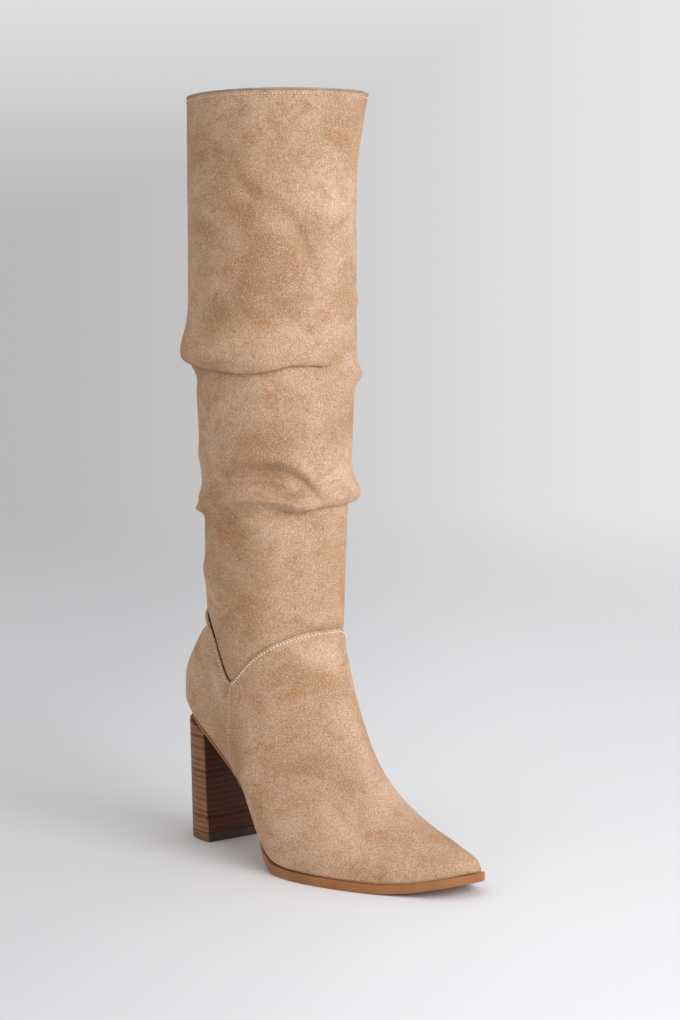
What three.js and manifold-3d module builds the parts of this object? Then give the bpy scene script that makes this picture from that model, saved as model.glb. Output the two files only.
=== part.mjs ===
// Slouched knee-high boot for the right foot, with a zip on the inner side and a stacked block heel.
// Millimetres. +X points to the toe, +Y to the inner side (towards the other foot), +Z up.
// The origin is the middle of the heel's face on the ground.
import * as THREE from "three";
import { mergeVertices } from "three/addons/utils/BufferGeometryUtils.js";
import Module from "manifold-3d";

// ---------------------------------------------------------------- driving dimensions

const GAP = 0.3; // between neighbouring solids
const WALL = 1.8; // suede, backing and lining
const SHAFT_FOOT_Z = 150; // the ankle, where the leg's own sections start
const COLLAR_Z = 482.5;
const COLLAR_RISE = 2; // the collar stands higher at the front of the outer side
const COLLAR_HIGH = 40; // and is highest at this place round it, in degrees from the front
const COLLAR_BAND = 60; // height of the leg over which the rise comes in

const HEEL_WIDTH = 48.7;
const HEEL_BREAST_X = 21; // the flat front face of the heel
const HEEL_BACK_X = -13;
const HEEL_SIDE_LENGTH = 5; // flat side before the back turns round
const HEEL_SQUARE = 0.86; // power of the back's curve: under 1 makes its corners squarer
const HEEL_FLARE = 0.0009; // growth of the section for each millimetre up
const BREAST_LEAN = 0.035; // how far the breast leans back for each millimetre up
const TOP_PIECE_THICKNESS = 6;

const SOLE_THICKNESS = 5.5; // under the forefoot
const WAIST_THICKNESS = 2.2; // under the arch and the heel seat
const SOLE_EDGE = 1.5; // how far the sole stands out beyond the upper at the forefoot
const WAIST_EDGE = -0.6; // and under the arch and the heel seat, where it is drawn in
const WAIST_END_X = 84; // the drawn-in edge ends here
const TREAD_START_X = 112; // and the forefoot's full edge starts here
const BALL_X = 150; // a place where the sole lies flat on the ground
const INSOLE_THICKNESS = 2.5;
const INSOLE_CLEARANCE = 0.7;

const SLOT_WIDTH = 7.6; // zip opening between the two turned edges
const TAPE_WIDTH = 21;
const TAPE_THICKNESS = 0.8;
const TEETH_WIDTH = 5.0;
const TEETH_PROUD = 0.5; // how far the coil stands out of the suede
const TAPE_PAST = 3; // the tape runs on past the slot's lower end and stops this much under the collar
const SLIDER_Z = 462; // middle of the closed slider
const TEETH_PAST = 4; // the coil ends this much over the slider's middle, inside it
const SLIDER = { length: 11, width: 8.4, plate: 1.4, flange: 0.7, chamfer: 0.6, lip: 0.2 };
const BAIL = { length: 9, width: 2.2, height: 3.9, bar: 1.1, root: 0.3, corner: 0.4 };
const PULL = {
  length: 23,
  width: 6.4,
  thickness: 1.3,
  eyeWidth: 3.6,
  eyeLength: 7.2,
  hang: 2.2,
  chamfer: 0.8,
  neck: 0.5,
  tip: 2,
};

const UPPER_COLUMNS = 19; // grid steps from the heel to the toe, on each side
const SHAFT_COLUMNS = 15;
const ARC_SAMPLES = 96; // fine steps that even out each ring
const PROFILE_STEPS = 68; // steps of a profile along the boot
const SEAM_STEPS = 102;
const RIBBON_STEPS = 12;
const HEEL_STEPS = 18; // round the back of the heel
const PULL_STEPS = 8; // round the pull tab's tip

// Room that is past the boot on every side, for the solids that cut it.
const ROOM = { fromX: -60, toX: 280, halfY: 90, fromZ: -20, toZ: 700 };
const PLAN_HEIGHT = 130; // taller than the heel seat
const HEEL_ROOM_Z = 110; // higher than the heel's top

// ---------------------------------------------------------------- tables

// The feather line: height of the last's bottom edge along the boot.
const BOTTOM = [
  { x: -26, z: 85.5 },
  { x: -3, z: 82.4 },
  { x: 20, z: 75.5 },
  { x: 44, z: 61.0 },
  { x: 68, z: 42.0 },
  { x: 87, z: 23.5 },
  { x: 100, z: 12.5 },
  { x: 114, z: 6.8 },
  { x: 124, z: 6.0 },
  { x: 186, z: 6.0 },
  { x: 206, z: 8.0 },
  { x: 222, z: 11.5 },
  { x: 240, z: 16.5 },
];

// The last, as rings from the feather line (up 0) to the ankle (up 1). Each ring runs from a back point to
// a front point. Outer and inner are its half widths, at the given part of its length from the back.
const RING_COLUMNS = [
  "up", "backX", "backZ", "frontX", "frontZ", "swing", "outer", "inner", "outerWide", "innerWide",
  "heelRound", "taper", "round", "tip", "outerWaist", "innerWaist", "follow",
];
const FOOT_RINGS = [
  [0.0, -15.5, 85, 231, 13.6, 16, 46.0, 38.5, 0.56, 0.69, 2.1, 1.9, 1.0, 14.0, 13.0, 13.0, 1.0],
  [0.14, -23.5, 96, 231, 20.0, 16, 47.0, 40.0, 0.56, 0.68, 2.05, 1.9, 0.92, 10.0, 10.5, 10.5, 1.0],
  [0.3, -24, 108, 217.5, 27.5, 14.5, 45.5, 39.5, 0.55, 0.66, 2.0, 1.9, 0.76, 5.0, 7.5, 7.5, 1.0],
  [0.48, -20, 119, 188, 37.5, 11, 41.5, 38.0, 0.54, 0.6, 2.0, 1.9, 0.66, 0.0, 3.5, 4.0, 0.9],
  [0.66, -12.5, 129, 157, 56.0, 6, 39.0, 37.5, 0.52, 0.55, 2.0, 2.0, 0.58, 0.0, 1.5, 1.5, 0.6],
  [0.84, -2, 140, 132.5, 94.0, 2, 38.5, 37.7, 0.5, 0.5, 2.0, 2.0, 0.55, 0.0, 0.0, 0.0, 0.25],
].map((row) => Object.fromEntries(row.map((value, i) => [RING_COLUMNS[i], value])));

// The leg, as flat oval sections from the ankle to the collar.
const LEG = [
  { z: SHAFT_FOOT_Z, centre: 61, depth: 50.3, width: 39.3 },
  { z: 190, centre: 61.3, depth: 51.5, width: 40.3 },
  { z: 226, centre: 61.7, depth: 52.3, width: 41.5 },
  { z: 250, centre: 61.7, depth: 54.5, width: 43.5 },
  { z: 300, centre: 61.5, depth: 57, width: 46 },
  { z: 316, centre: 59, depth: 60.5, width: 48.5 },
  { z: 350, centre: 58.5, depth: 60.5, width: 48.5 },
  { z: 430, centre: 58.5, depth: 60, width: 49 },
  { z: COLLAR_Z, centre: 64, depth: 65, width: 51 },
];

// The slouch: soft rolls round the leg. Around is 0 at the front, 90 on the outer side, 180 at the back and
// -90 on the inner side. Out is the height of the roll, up and down are its half heights.
const FOLDS = [
  { z: 322, around: 100, reach: 95, rise: 3, out: 3.0, up: 16, down: 5 },
  { z: 310, around: -40, reach: 38, rise: 0, out: 3.2, up: 6, down: 6 },
  { z: 236, around: -20, reach: 62, rise: 5, out: 4.2, up: 8, down: 4 },
  { z: 224, around: 140, reach: 70, rise: 8, out: 3.4, up: 7, down: 5 },
  { z: 249, around: 50, reach: 60, rise: 0, out: -2.4, up: 6, down: 7 },
  { z: 181, around: 160, reach: 60, rise: 4, out: 2.4, up: 8, down: 7 },
  { z: 257, around: 165, reach: 60, rise: 0, out: 2.0, up: 6, down: 6 },
];

// Rows of the leg's grid: closer together where it folds.
const LEG_ROWS = [
  { from: SHAFT_FOOT_Z, to: 174, step: 12 },
  { from: 181, to: 202, step: 8 },
  { from: 212, to: 260, step: 6 },
  { from: 276, to: 300, step: 14 },
  { from: 305, to: 330, step: 5 },
  { from: 350, to: COLLAR_Z, step: 25 },
];

// The seam between the foot and the leg, seen from the side: a V with its point on the ankle.
const SEAM = [
  { x: -40, z: 159 },
  { x: 12, z: 157 },
  { x: 34, z: 149.5 },
  { x: 45, z: 140 },
  { x: 64.5, z: 113.5 },
  { x: 67.5, z: 115 },
  { x: 77.5, z: 124.5 },
  { x: 88.5, z: 134.7 },
  { x: 99, z: 142.2 },
  { x: 112, z: 149 },
  { x: 150, z: 151.5 },
];

// The middle of the zip, seen from the inner side, from the collar down to the waist.
const ZIP = [
  { z: COLLAR_Z + 12, x: 31 },
  { z: 430, x: 40 },
  { z: 360, x: 51 },
  { z: 290, x: 58 },
  { z: 200, x: 61 },
  { z: 112, x: 62 },
  { z: 80, x: 64 },
  { z: 47, x: 70 },
];
const SLOT_END_Z = 53;
const ZIP_JOIN_Z = 100; // the strips along the zip pass from the leg's surface to the foot's here
const ZIP_FROM_Y = 4; // the zip's cutters start here, clear of the outer side

// ---------------------------------------------------------------- curves and solids

// A smooth value from a table: a cubic between rows that never overshoots them.
function smoothColumn(rows, key, column, at) {
  const last = rows.length - 1;
  const sign = rows[last][key] > rows[0][key] ? 1 : -1;
  const slope = (i) => (rows[i + 1][column] - rows[i][column]) / (rows[i + 1][key] - rows[i][key]);
  const tangent = (i) => {
    if (i === 0) return slope(0);
    if (i === last) return slope(last - 1);
    const before = slope(i - 1);
    const after = slope(i);
    return before * after <= 0 ? 0 : (2 * before * after) / (before + after);
  };
  let i = 0;
  while (i < last - 1 && sign * (at - rows[i + 1][key]) > 0) i++;
  const length = rows[i + 1][key] - rows[i][key];
  const t = THREE.MathUtils.clamp((at - rows[i][key]) / length, 0, 1);
  const start = rows[i][column];
  const end = rows[i + 1][column];
  return (
    start * (1 + 2 * t) * (1 - t) ** 2 +
    end * (3 - 2 * t) * t ** 2 +
    tangent(i) * length * t * (1 - t) ** 2 -
    tangent(i + 1) * length * t ** 2 * (1 - t)
  );
}

const bottomZ = (x) => smoothColumn(BOTTOM, "x", "z", x);
const seamZ = (x) => smoothColumn(SEAM, "x", "z", x);
const zipX = (z) => smoothColumn(ZIP, "z", "x", z);

const wasm = await Module();
wasm.setup();

function solidFrom(geometry) {
  const loose = geometry.index ? geometry.toNonIndexed() : geometry;
  const plain = new THREE.BufferGeometry();
  plain.setAttribute("position", loose.getAttribute("position"));
  const merged = mergeVertices(plain, 1e-4);
  return new wasm.Manifold(
    new wasm.Mesh({
      numProp: 3,
      vertProperties: merged.attributes.position.array,
      triVerts: new Uint32Array(merged.index.array),
    }),
  );
}

function geometryFrom(solid) {
  const mesh = solid.getMesh();
  const geometry = new THREE.BufferGeometry();
  geometry.setAttribute("position", new THREE.BufferAttribute(mesh.vertProperties, 3));
  geometry.setIndex(new THREE.BufferAttribute(mesh.triVerts, 1));
  geometry.computeVertexNormals();
  return geometry;
}

// A side-view outline of [x, z] points, carried across the boot from y = from to y = to.
function acrossSolid(outline, from, to) {
  const shape = new THREE.Shape(outline.map(([x, z]) => new THREE.Vector2(x, z)));
  const geometry = new THREE.ExtrudeGeometry(shape, { depth: to - from, bevelEnabled: false });
  geometry.rotateX(Math.PI / 2); // the outline's second axis becomes Z and its depth runs to -Y
  geometry.translate(0, to, 0);
  return solidFrom(geometry);
}

function steps(from, to, count) {
  return Array.from({ length: count + 1 }, (_, i) => from + ((to - from) * i) / count);
}

// A profile solid between two heights z = low(x) and z = high(x).
function bandSolid(low, high, count = PROFILE_STEPS) {
  const xs = steps(ROOM.fromX, ROOM.toX, count);
  const lower = xs.map((x) => [x, low(x)]);
  const upper = xs.map((x) => [x, high(x)]).reverse();
  return acrossSolid([...lower, ...upper], -ROOM.halfY, ROOM.halfY);
}

// ---------------------------------------------------------------- the surface of the boot

const legRing = (z) => ({
  backX: smoothColumn(LEG, "z", "centre", z) - smoothColumn(LEG, "z", "depth", z),
  frontX: smoothColumn(LEG, "z", "centre", z) + smoothColumn(LEG, "z", "depth", z),
  backZ: z,
  frontZ: z,
  swing: 0,
  outer: smoothColumn(LEG, "z", "width", z),
  inner: smoothColumn(LEG, "z", "width", z),
  outerWide: 0.5,
  innerWide: 0.5,
  heelRound: 2,
  taper: 2,
  round: 0.5,
  tip: 0,
  outerWaist: 0,
  innerWaist: 0,
  follow: 0,
});

const LAST_TOP = 16; // the last goes on this far up the leg, so that the foot's rows run on straight
const ANKLE_RINGS = [
  { up: 1, ...legRing(SHAFT_FOOT_Z) },
  { up: 1.1, ...legRing(SHAFT_FOOT_Z + LAST_TOP) },
];
const RINGS = [...FOOT_RINGS, ...ANKLE_RINGS];

// The ring at any height up the last.
function ringAt(up) {
  return Object.fromEntries(
    RING_COLUMNS.map((column) => [column, column === "up" ? up : smoothColumn(RINGS, "up", column, up)]),
  );
}

const TOE_CAP = 13; // length of the rounded end of the toe
const TOE_SKEW = 0.16; // the toe's front edge runs forward towards the inner side
const WAIST_PLACE = { outer: 0.33, inner: 0.38 };
const WAIST_SPREAD = 0.17;
const WAIST_FADE = 0.1; // the waist fades out over this part of the length at the back
const SWING_FROM = 0.45; // the last swings to the inner side from this part of its length
const SKEW_FROM = 0.75; // and its toe is skewed from this part

// A point of a ring, at part s of its length from the back, on the outer (-1) or the inner (1) side.
function ringPoint(ring, side, s) {
  const outer = side < 0;
  const wide = outer ? ring.outerWide : ring.innerWide;
  const half = outer ? ring.outer : ring.inner;
  const length = ring.frontX - ring.backX;
  let y;
  if (s < wide) {
    y = half * (1 - ((wide - s) / wide) ** ring.heelRound) ** (1 / ring.heelRound);
  } else {
    const t = (s - wide) / (1 - wide);
    y = ring.tip + (half - ring.tip) * Math.max(0, 1 - t ** ring.taper) ** ring.round;
  }
  const place = outer ? WAIST_PLACE.outer : WAIST_PLACE.inner;
  const amount = outer ? ring.outerWaist : ring.innerWaist;
  y -= amount * Math.exp(-(((s - place) / WAIST_SPREAD) ** 2)) * Math.min(1, s / WAIST_FADE);
  const cap = Math.max(0, 1 - ((1 - s) * length) / TOE_CAP);
  if (ring.tip > 0) y *= (1 - cap ** 3) ** (1 / 3);
  const bend = Math.max(0, (s - SWING_FROM) / (1 - SWING_FROM)) ** 1.5;
  const front = Math.max(0, (s - SKEW_FROM) / (1 - SKEW_FROM)) ** 2;
  const x = ring.backX + length * s + TOE_SKEW * side * y * front;
  const slack = bottomZ(x) - THREE.MathUtils.lerp(bottomZ(ring.backX), bottomZ(ring.frontX), s);
  return new THREE.Vector3(
    x,
    side * y + ring.swing * bend,
    THREE.MathUtils.lerp(ring.backZ, ring.frontZ, s) + ring.follow * slack,
  );
}

// One side of a ring from back to front, in even steps of its length.
function evenSide(ring, side, count) {
  const fine = steps(0, Math.PI, ARC_SAMPLES).map((a) => ringPoint(ring, side, (1 - Math.cos(a)) / 2));
  const lengths = [0];
  for (let i = 1; i < fine.length; i++) {
    lengths.push(lengths[i - 1] + fine[i].distanceTo(fine[i - 1]));
  }
  const total = lengths[lengths.length - 1];
  let i = 0;
  return steps(0, total, count).map((along) => {
    while (i < fine.length - 2 && lengths[i + 1] < along) i++;
    const t = (along - lengths[i]) / (lengths[i + 1] - lengths[i]);
    return fine[i].clone().lerp(fine[i + 1], Math.min(1, t));
  });
}

// A closed ring: back, outer side, toe, inner side. The toe and back points are shared.
function closedRing(ring, perSide) {
  const outer = evenSide(ring, -1, perSide);
  const inner = evenSide(ring, 1, perSide);
  return [...outer.slice(0, perSide), ...inner.reverse().slice(0, perSide)];
}

// Degrees round the leg of a grid column.
const aroundOf = (column, perSide) => 180 - (180 * column) / perSide;

const angleBetween = (a, b) => Math.abs(((a - b + 540) % 360) - 180);

// How far the slouch pushes the leg out at a height and a place round it.
function foldOut(z, around) {
  let out = 0;
  for (const fold of FOLDS) {
    const turn = angleBetween(around, fold.around);
    if (turn > fold.reach) continue;
    const window = Math.cos((Math.PI / 2) * (turn / fold.reach)) ** 2;
    const height = z - fold.z - fold.rise * (1 - turn / fold.reach - 0.5);
    const spread = height > 0 ? fold.up : fold.down;
    out += fold.out * window * Math.exp(-((height / spread) ** 2));
  }
  return out;
}

// The collar isn't level: near it the leg is a little longer on one side.
function collarLift(z, around) {
  const near = THREE.MathUtils.smoothstep(z, COLLAR_Z - COLLAR_BAND, COLLAR_Z);
  return COLLAR_RISE * near * Math.cos(THREE.MathUtils.degToRad(around - COLLAR_HIGH));
}

// Normals of a grid of closed rings, pointing out.
function gridNormals(grid) {
  const columns = grid[0].length;
  return grid.map((row, r) =>
    row.map((_, c) => {
      const above = grid[Math.min(r + 1, grid.length - 1)][c];
      const below = grid[Math.max(r - 1, 0)][c];
      const next = row[(c + 1) % columns];
      const before = row[(c + columns - 1) % columns];
      const upward = above.clone().sub(below);
      return next.clone().sub(before).cross(upward).normalize();
    }),
  );
}

// A closed wall between two depths under a grid of rings. Depth 0 is the outer surface.
function wallSolid(grid, normals, outerDepth, innerDepth) {
  const rows = grid.length;
  const columns = grid[0].length;
  const positions = [];
  for (const depth of [outerDepth, innerDepth]) {
    grid.forEach((row, r) =>
      row.forEach((point, c) => {
        positions.push(...point.clone().addScaledVector(normals[r][c], -depth).toArray());
      }),
    );
  }
  const index = [];
  const at = (layer, r, c) => (layer * rows + r) * columns + (c % columns);
  const quad = (a, b, c, d) => index.push(a, b, c, a, c, d);
  for (let c = 0; c < columns; c++) {
    for (let r = 0; r < rows - 1; r++) {
      quad(at(0, r, c), at(0, r, c + 1), at(0, r + 1, c + 1), at(0, r + 1, c));
      quad(at(1, r, c), at(1, r + 1, c), at(1, r + 1, c + 1), at(1, r, c + 1));
    }
    quad(at(0, rows - 1, c), at(0, rows - 1, c + 1), at(1, rows - 1, c + 1), at(1, rows - 1, c));
    quad(at(1, 0, c), at(1, 0, c + 1), at(0, 0, c + 1), at(0, 0, c));
  }
  const geometry = new THREE.BufferGeometry();
  geometry.setAttribute("position", new THREE.Float32BufferAttribute(positions, 3));
  geometry.setIndex(index);
  return solidFrom(geometry);
}

// The last's surface from just under the feather line to just over the ankle seam.
const UPPER_ROWS = [0.03, 0.1, 0.17, 0.24, 0.31, 0.38, 0.46, 0.54, 0.62, 0.7, 0.78, 0.86, 0.94, 1.02];
const UNDER_FEATHER = 3; // the lowest row hangs this far under the feather line, where the cut takes it off
const hangingRow = closedRing(ringAt(0), UPPER_COLUMNS).map((point) => point.setZ(point.z - UNDER_FEATHER));
const upperGrid = [hangingRow, ...UPPER_ROWS.map((up) => closedRing(ringAt(up), UPPER_COLUMNS))];
const upperNormals = gridNormals(upperGrid);

// The leg's surface. Under the ankle it goes on down the last, so that the seam can cut its V out of it.
const ANKLE_ROWS = [0.5, 0.62, 0.75, 0.88];
const legLevels = LEG_ROWS.flatMap(({ from, to, step }) => {
  const count = Math.round((to - from) / step);
  return steps(from, to, count);
});
const smoothLeg = [
  ...ANKLE_ROWS.map((up) => closedRing(ringAt(up), SHAFT_COLUMNS)),
  ...legLevels.map((z) => closedRing(legRing(z), SHAFT_COLUMNS)),
];
const legNormals = gridNormals(smoothLeg);
const legGrid = smoothLeg.map((row, r) =>
  row.map((point, c) => {
    const around = aroundOf(c, SHAFT_COLUMNS);
    const placed = point.clone().addScaledVector(legNormals[r][c], foldOut(point.z, around));
    placed.z += collarLift(point.z, around);
    return placed;
  }),
);

// ---------------------------------------------------------------- cutters

const overSole = bandSolid(bottomZ, () => ROOM.toZ);
const underSeam = bandSolid(() => ROOM.fromZ, (x) => seamZ(x) - GAP / 2, SEAM_STEPS);
const overSeam = bandSolid((x) => seamZ(x) + GAP / 2, () => ROOM.toZ, SEAM_STEPS);

// A ribbon along the zip, seen from the side, carried across the inner half of the boot.
function zipRibbon(width, fromZ, toZ) {
  const heights = steps(fromZ, toZ, RIBBON_STEPS);
  const edge = (side) =>
    heights.map((z) => {
      const slope = (zipX(z + 1) - zipX(z - 1)) / 2;
      const lean = Math.hypot(1, slope);
      return [zipX(z) + (side * width * lean) / 2, z];
    });
  return acrossSolid([...edge(1), ...edge(-1).reverse()], ZIP_FROM_Y, ROOM.halfY);
}

// ---------------------------------------------------------------- pieces

const root = new THREE.Group();

function addPiece(name, geometry, material, parent = root) {
  const mesh = new THREE.Mesh(geometry, material);
  mesh.name = name;
  parent.add(mesh);
  return mesh;
}

const suede = new THREE.MeshStandardMaterial({ color: "#c19f7f", roughness: 0.95, metalness: 0 });
const legSuede = new THREE.MeshStandardMaterial({ color: "#c4a384", roughness: 0.95, metalness: 0 });
const soleTan = new THREE.MeshStandardMaterial({ color: "#a5774d", roughness: 0.55, metalness: 0 });
const stackedHeel = new THREE.MeshStandardMaterial({ color: "#6b452c", roughness: 0.5, metalness: 0 });
const topPieceRubber = new THREE.MeshStandardMaterial({ color: "#5b4a36", roughness: 0.7, metalness: 0 });
const insoleCloth = new THREE.MeshStandardMaterial({ color: "#cbb79c", roughness: 0.9, metalness: 0 });
const tapeCloth = new THREE.MeshStandardMaterial({ color: "#6b4a35", roughness: 0.9, metalness: 0 });
const coilNylon = new THREE.MeshStandardMaterial({ color: "#c9a98c", roughness: 0.5, metalness: 0 });
const nickel = new THREE.MeshStandardMaterial({ color: "#b9b9b9", roughness: 0.25, metalness: 1 });

// An outline of the feather line in plan, grown outwards by a distance that may change along the boot.
function featherShape(growAt) {
  const ring = closedRing(ringAt(0), 2 * UPPER_COLUMNS);
  const count = ring.length;
  const points = ring.map((point, i) => {
    const before = ring[(i + count - 1) % count];
    const next = ring[(i + 1) % count];
    const along = new THREE.Vector2(next.x - before.x, next.y - before.y).normalize();
    const grow = growAt(point.x);
    return new THREE.Vector2(point.x + along.y * grow, point.y - along.x * grow);
  });
  return new THREE.Shape(points);
}

function planSolid(shape) {
  return solidFrom(new THREE.ExtrudeGeometry(shape, { depth: PLAN_HEIGHT, bevelEnabled: false }));
}

function makeOutsole() {
  const forefoot = (x) => THREE.MathUtils.smoothstep(x, WAIST_END_X, TREAD_START_X);
  const thickness = (x) => THREE.MathUtils.lerp(WAIST_THICKNESS, SOLE_THICKNESS, forefoot(x));
  const edge = (x) => THREE.MathUtils.lerp(WAIST_EDGE, SOLE_EDGE, forefoot(x));
  const ground = bottomZ(BALL_X) - GAP - SOLE_THICKNESS;
  const under = (x) => bottomZ(x) - GAP - thickness(x) - ground;
  const top = (x) => bottomZ(x) - GAP;
  return planSolid(featherShape(edge)).intersect(bandSolid(under, top));
}

const soleUnder = (x) => bottomZ(x) - GAP - WAIST_THICKNESS;

function heelOutline() {
  const half = HEEL_WIDTH / 2;
  const front = HEEL_BREAST_X;
  const turn = HEEL_BREAST_X - HEEL_SIDE_LENGTH;
  const back = HEEL_BACK_X;
  const shape = new THREE.Shape();
  shape.moveTo(front, -half);
  shape.lineTo(front, half);
  shape.lineTo(turn, half);
  const reach = turn - back;
  for (const a of steps(0, Math.PI, HEEL_STEPS).slice(1, -1)) {
    const sine = Math.sin(a) ** HEEL_SQUARE;
    const cosine = Math.sign(Math.cos(a)) * Math.abs(Math.cos(a)) ** HEEL_SQUARE;
    shape.lineTo(turn - reach * sine, half * cosine);
  }
  shape.lineTo(turn, -half);
  return shape;
}

function heelPrism(fromZ, toZ) {
  const geometry = new THREE.ExtrudeGeometry(heelOutline(), { depth: toZ - fromZ, bevelEnabled: false });
  geometry.translate(0, 0, fromZ);
  const place = geometry.getAttribute("position");
  for (let i = 0; i < place.count; i++) {
    const grow = 1 + HEEL_FLARE * place.getZ(i);
    const forward = (place.getX(i) - HEEL_BACK_X) / (HEEL_BREAST_X - HEEL_BACK_X);
    place.setX(i, place.getX(i) - BREAST_LEAN * forward * place.getZ(i));
    place.setY(i, place.getY(i) * grow);
  }
  return solidFrom(geometry);
}

function makeHeelBlock() {
  const under = bandSolid(() => ROOM.fromZ, (x) => soleUnder(x) - GAP);
  return heelPrism(TOP_PIECE_THICKNESS + GAP, HEEL_ROOM_Z).intersect(under);
}

const largestBody = (solid) => solid.decompose().sort((a, b) => b.volume() - a.volume())[0];

function makeInsole() {
  const plan = planSolid(featherShape(() => -(WALL + INSOLE_CLEARANCE)));
  const band = bandSolid(bottomZ, (x) => bottomZ(x) + INSOLE_THICKNESS);
  const cut = plan.intersect(band).subtract(wallSolid(upperGrid, upperNormals, 0, WALL + GAP));
  return largestBody(cut);
}

const slot = zipRibbon(SLOT_WIDTH, SLOT_END_Z, COLLAR_Z + 10);

function makeUpper() {
  const wall = wallSolid(upperGrid, upperNormals, 0, WALL);
  return wall.intersect(overSole).intersect(underSeam).subtract(slot);
}

function makeShaft() {
  const wall = wallSolid(legGrid, legNormals, 0, WALL);
  return wall.intersect(overSeam).subtract(slot);
}

// A strip that follows the zip between two depths. The leg's part and the foot's part join at the ankle.
function zipStrip(width, outerDepth, innerDepth, fromZ, toZ) {
  const leg = wallSolid(legGrid, legNormals, outerDepth, innerDepth);
  const foot = wallSolid(upperGrid, upperNormals, outerDepth, innerDepth);
  const high = leg.intersect(zipRibbon(width, ZIP_JOIN_Z, toZ));
  const low = foot.intersect(zipRibbon(width, fromZ, ZIP_JOIN_Z + 1));
  return high.add(low);
}

function makeZipTape() {
  const back = WALL + GAP + TAPE_THICKNESS;
  return zipStrip(TAPE_WIDTH, WALL + GAP, back, SLOT_END_Z - TAPE_PAST, COLLAR_Z - TAPE_PAST);
}

function makeZipTeeth() {
  return zipStrip(TEETH_WIDTH, -TEETH_PROUD, WALL, SLOT_END_Z + GAP, SLIDER_Z + TEETH_PAST);
}

// The slider in its own axes: X out of the boot, Y along the boot, Z up the zip. X = 0 is the suede.
const PLATE_X = TEETH_PROUD + GAP;
const HINGE_X = PLATE_X + SLIDER.plate + (BAIL.height - BAIL.bar) / 2;

// The slider's section: a plate that clasps the coil with a thin lip on each side.
function channelShape() {
  const half = SLIDER.width / 2;
  const inside = half - SLIDER.flange;
  const front = PLATE_X + SLIDER.plate;
  const side = [
    [front, half - SLIDER.chamfer],
    [front - SLIDER.chamfer, half],
    [PLATE_X, half],
    [PLATE_X - SLIDER.lip, half - SLIDER.lip],
    [PLATE_X, inside],
  ];
  const other = side.map(([x, y]) => [x, -y]).reverse();
  return new THREE.Shape([...side, ...other].map(([x, y]) => new THREE.Vector2(x, y)));
}

// The bail's side view: an arch over the plate that the pull tab hangs from.
function bailShape() {
  const foot = PLATE_X + SLIDER.plate - BAIL.root;
  const over = PLATE_X + SLIDER.plate + BAIL.height;
  const half = BAIL.length / 2;
  const inside = half - BAIL.bar;
  const outer = [
    [foot, -half],
    [over - BAIL.bar, -half],
    [over, -inside],
    [over, inside],
    [over - BAIL.bar, half],
    [foot, half],
  ];
  const hollow = [
    [foot, inside],
    [over - BAIL.bar - BAIL.corner, inside],
    [over - BAIL.bar, inside - BAIL.corner],
    [over - BAIL.bar, BAIL.corner - inside],
    [over - BAIL.bar - BAIL.corner, -inside],
    [foot, -inside],
  ];
  return new THREE.Shape([...outer, ...hollow].map(([x, y]) => new THREE.Vector2(x, y)));
}

function makeSlider() {
  const body = new THREE.ExtrudeGeometry(channelShape(), { depth: SLIDER.length, bevelEnabled: false });
  body.translate(0, 0, -SLIDER.length / 2);
  const bail = new THREE.ExtrudeGeometry(bailShape(), { depth: BAIL.width, bevelEnabled: false });
  bail.rotateX(Math.PI / 2);
  bail.translate(0, BAIL.width / 2, 0);
  return solidFrom(body).add(solidFrom(bail));
}

// The pull tab hangs from its top bar, which is the hinge. Its axes start on that bar.
function makePull() {
  const outline = new THREE.Shape();
  const half = PULL.width / 2;
  const bar = PULL.thickness / 2;
  const neckZ = -PULL.eyeLength - PULL.chamfer;
  const tipZ = PULL.tip - PULL.length;
  outline.moveTo(PULL.chamfer - half, bar);
  outline.lineTo(-half, bar - PULL.chamfer);
  outline.lineTo(PULL.neck - half, neckZ);
  outline.lineTo(-half, tipZ);
  for (const a of steps(Math.PI, 2 * Math.PI, PULL_STEPS).slice(1)) {
    outline.lineTo(half * Math.cos(a), tipZ + PULL.tip * Math.sin(a));
  }
  outline.lineTo(half - PULL.neck, neckZ);
  outline.lineTo(half, bar - PULL.chamfer);
  outline.lineTo(half - PULL.chamfer, bar);
  const eye = new THREE.Path();
  eye.moveTo(-PULL.eyeWidth / 2, -bar);
  eye.lineTo(PULL.eyeWidth / 2, -bar);
  eye.lineTo(PULL.eyeWidth / 2, -PULL.eyeLength);
  eye.lineTo(-PULL.eyeWidth / 2, -PULL.eyeLength);
  outline.holes.push(eye);
  const geometry = new THREE.ExtrudeGeometry(outline, { depth: PULL.thickness, bevelEnabled: false });
  geometry.translate(0, 0, -bar);
  geometry.rotateX(Math.PI / 2); // the outline's height becomes Z
  geometry.rotateZ(Math.PI / 2); // and its width Y
  return geometry;
}

// The place on the suede where the slider sits, and the way that it faces.
function sliderPlace() {
  const ring = legRing(SLIDER_Z);
  const depth = (ring.frontX - ring.backX) / 2;
  const x = zipX(SLIDER_Z);
  const along = (x - (ring.backX + depth)) / depth;
  const y = ring.inner * Math.sqrt(1 - along ** 2);
  const facing = Math.atan2(y / ring.inner ** 2, (along * depth) / depth ** 2);
  const lean = Math.atan((zipX(SLIDER_Z + 1) - zipX(SLIDER_Z - 1)) / 2);
  return { position: new THREE.Vector3(x, y, SLIDER_Z), facing, lean };
}

addPiece("outsole", geometryFrom(makeOutsole()), soleTan);
addPiece("heel_block", geometryFrom(makeHeelBlock()), stackedHeel);
addPiece("top_piece", geometryFrom(heelPrism(0, TOP_PIECE_THICKNESS)), topPieceRubber);
addPiece("insole", geometryFrom(makeInsole()), insoleCloth);
addPiece("upper", geometryFrom(makeUpper()), suede);
addPiece("shaft", geometryFrom(makeShaft()), legSuede);

addPiece("zip_tape", geometryFrom(makeZipTape()), tapeCloth);
addPiece("zip_teeth", geometryFrom(makeZipTeeth()), coilNylon);

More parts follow.
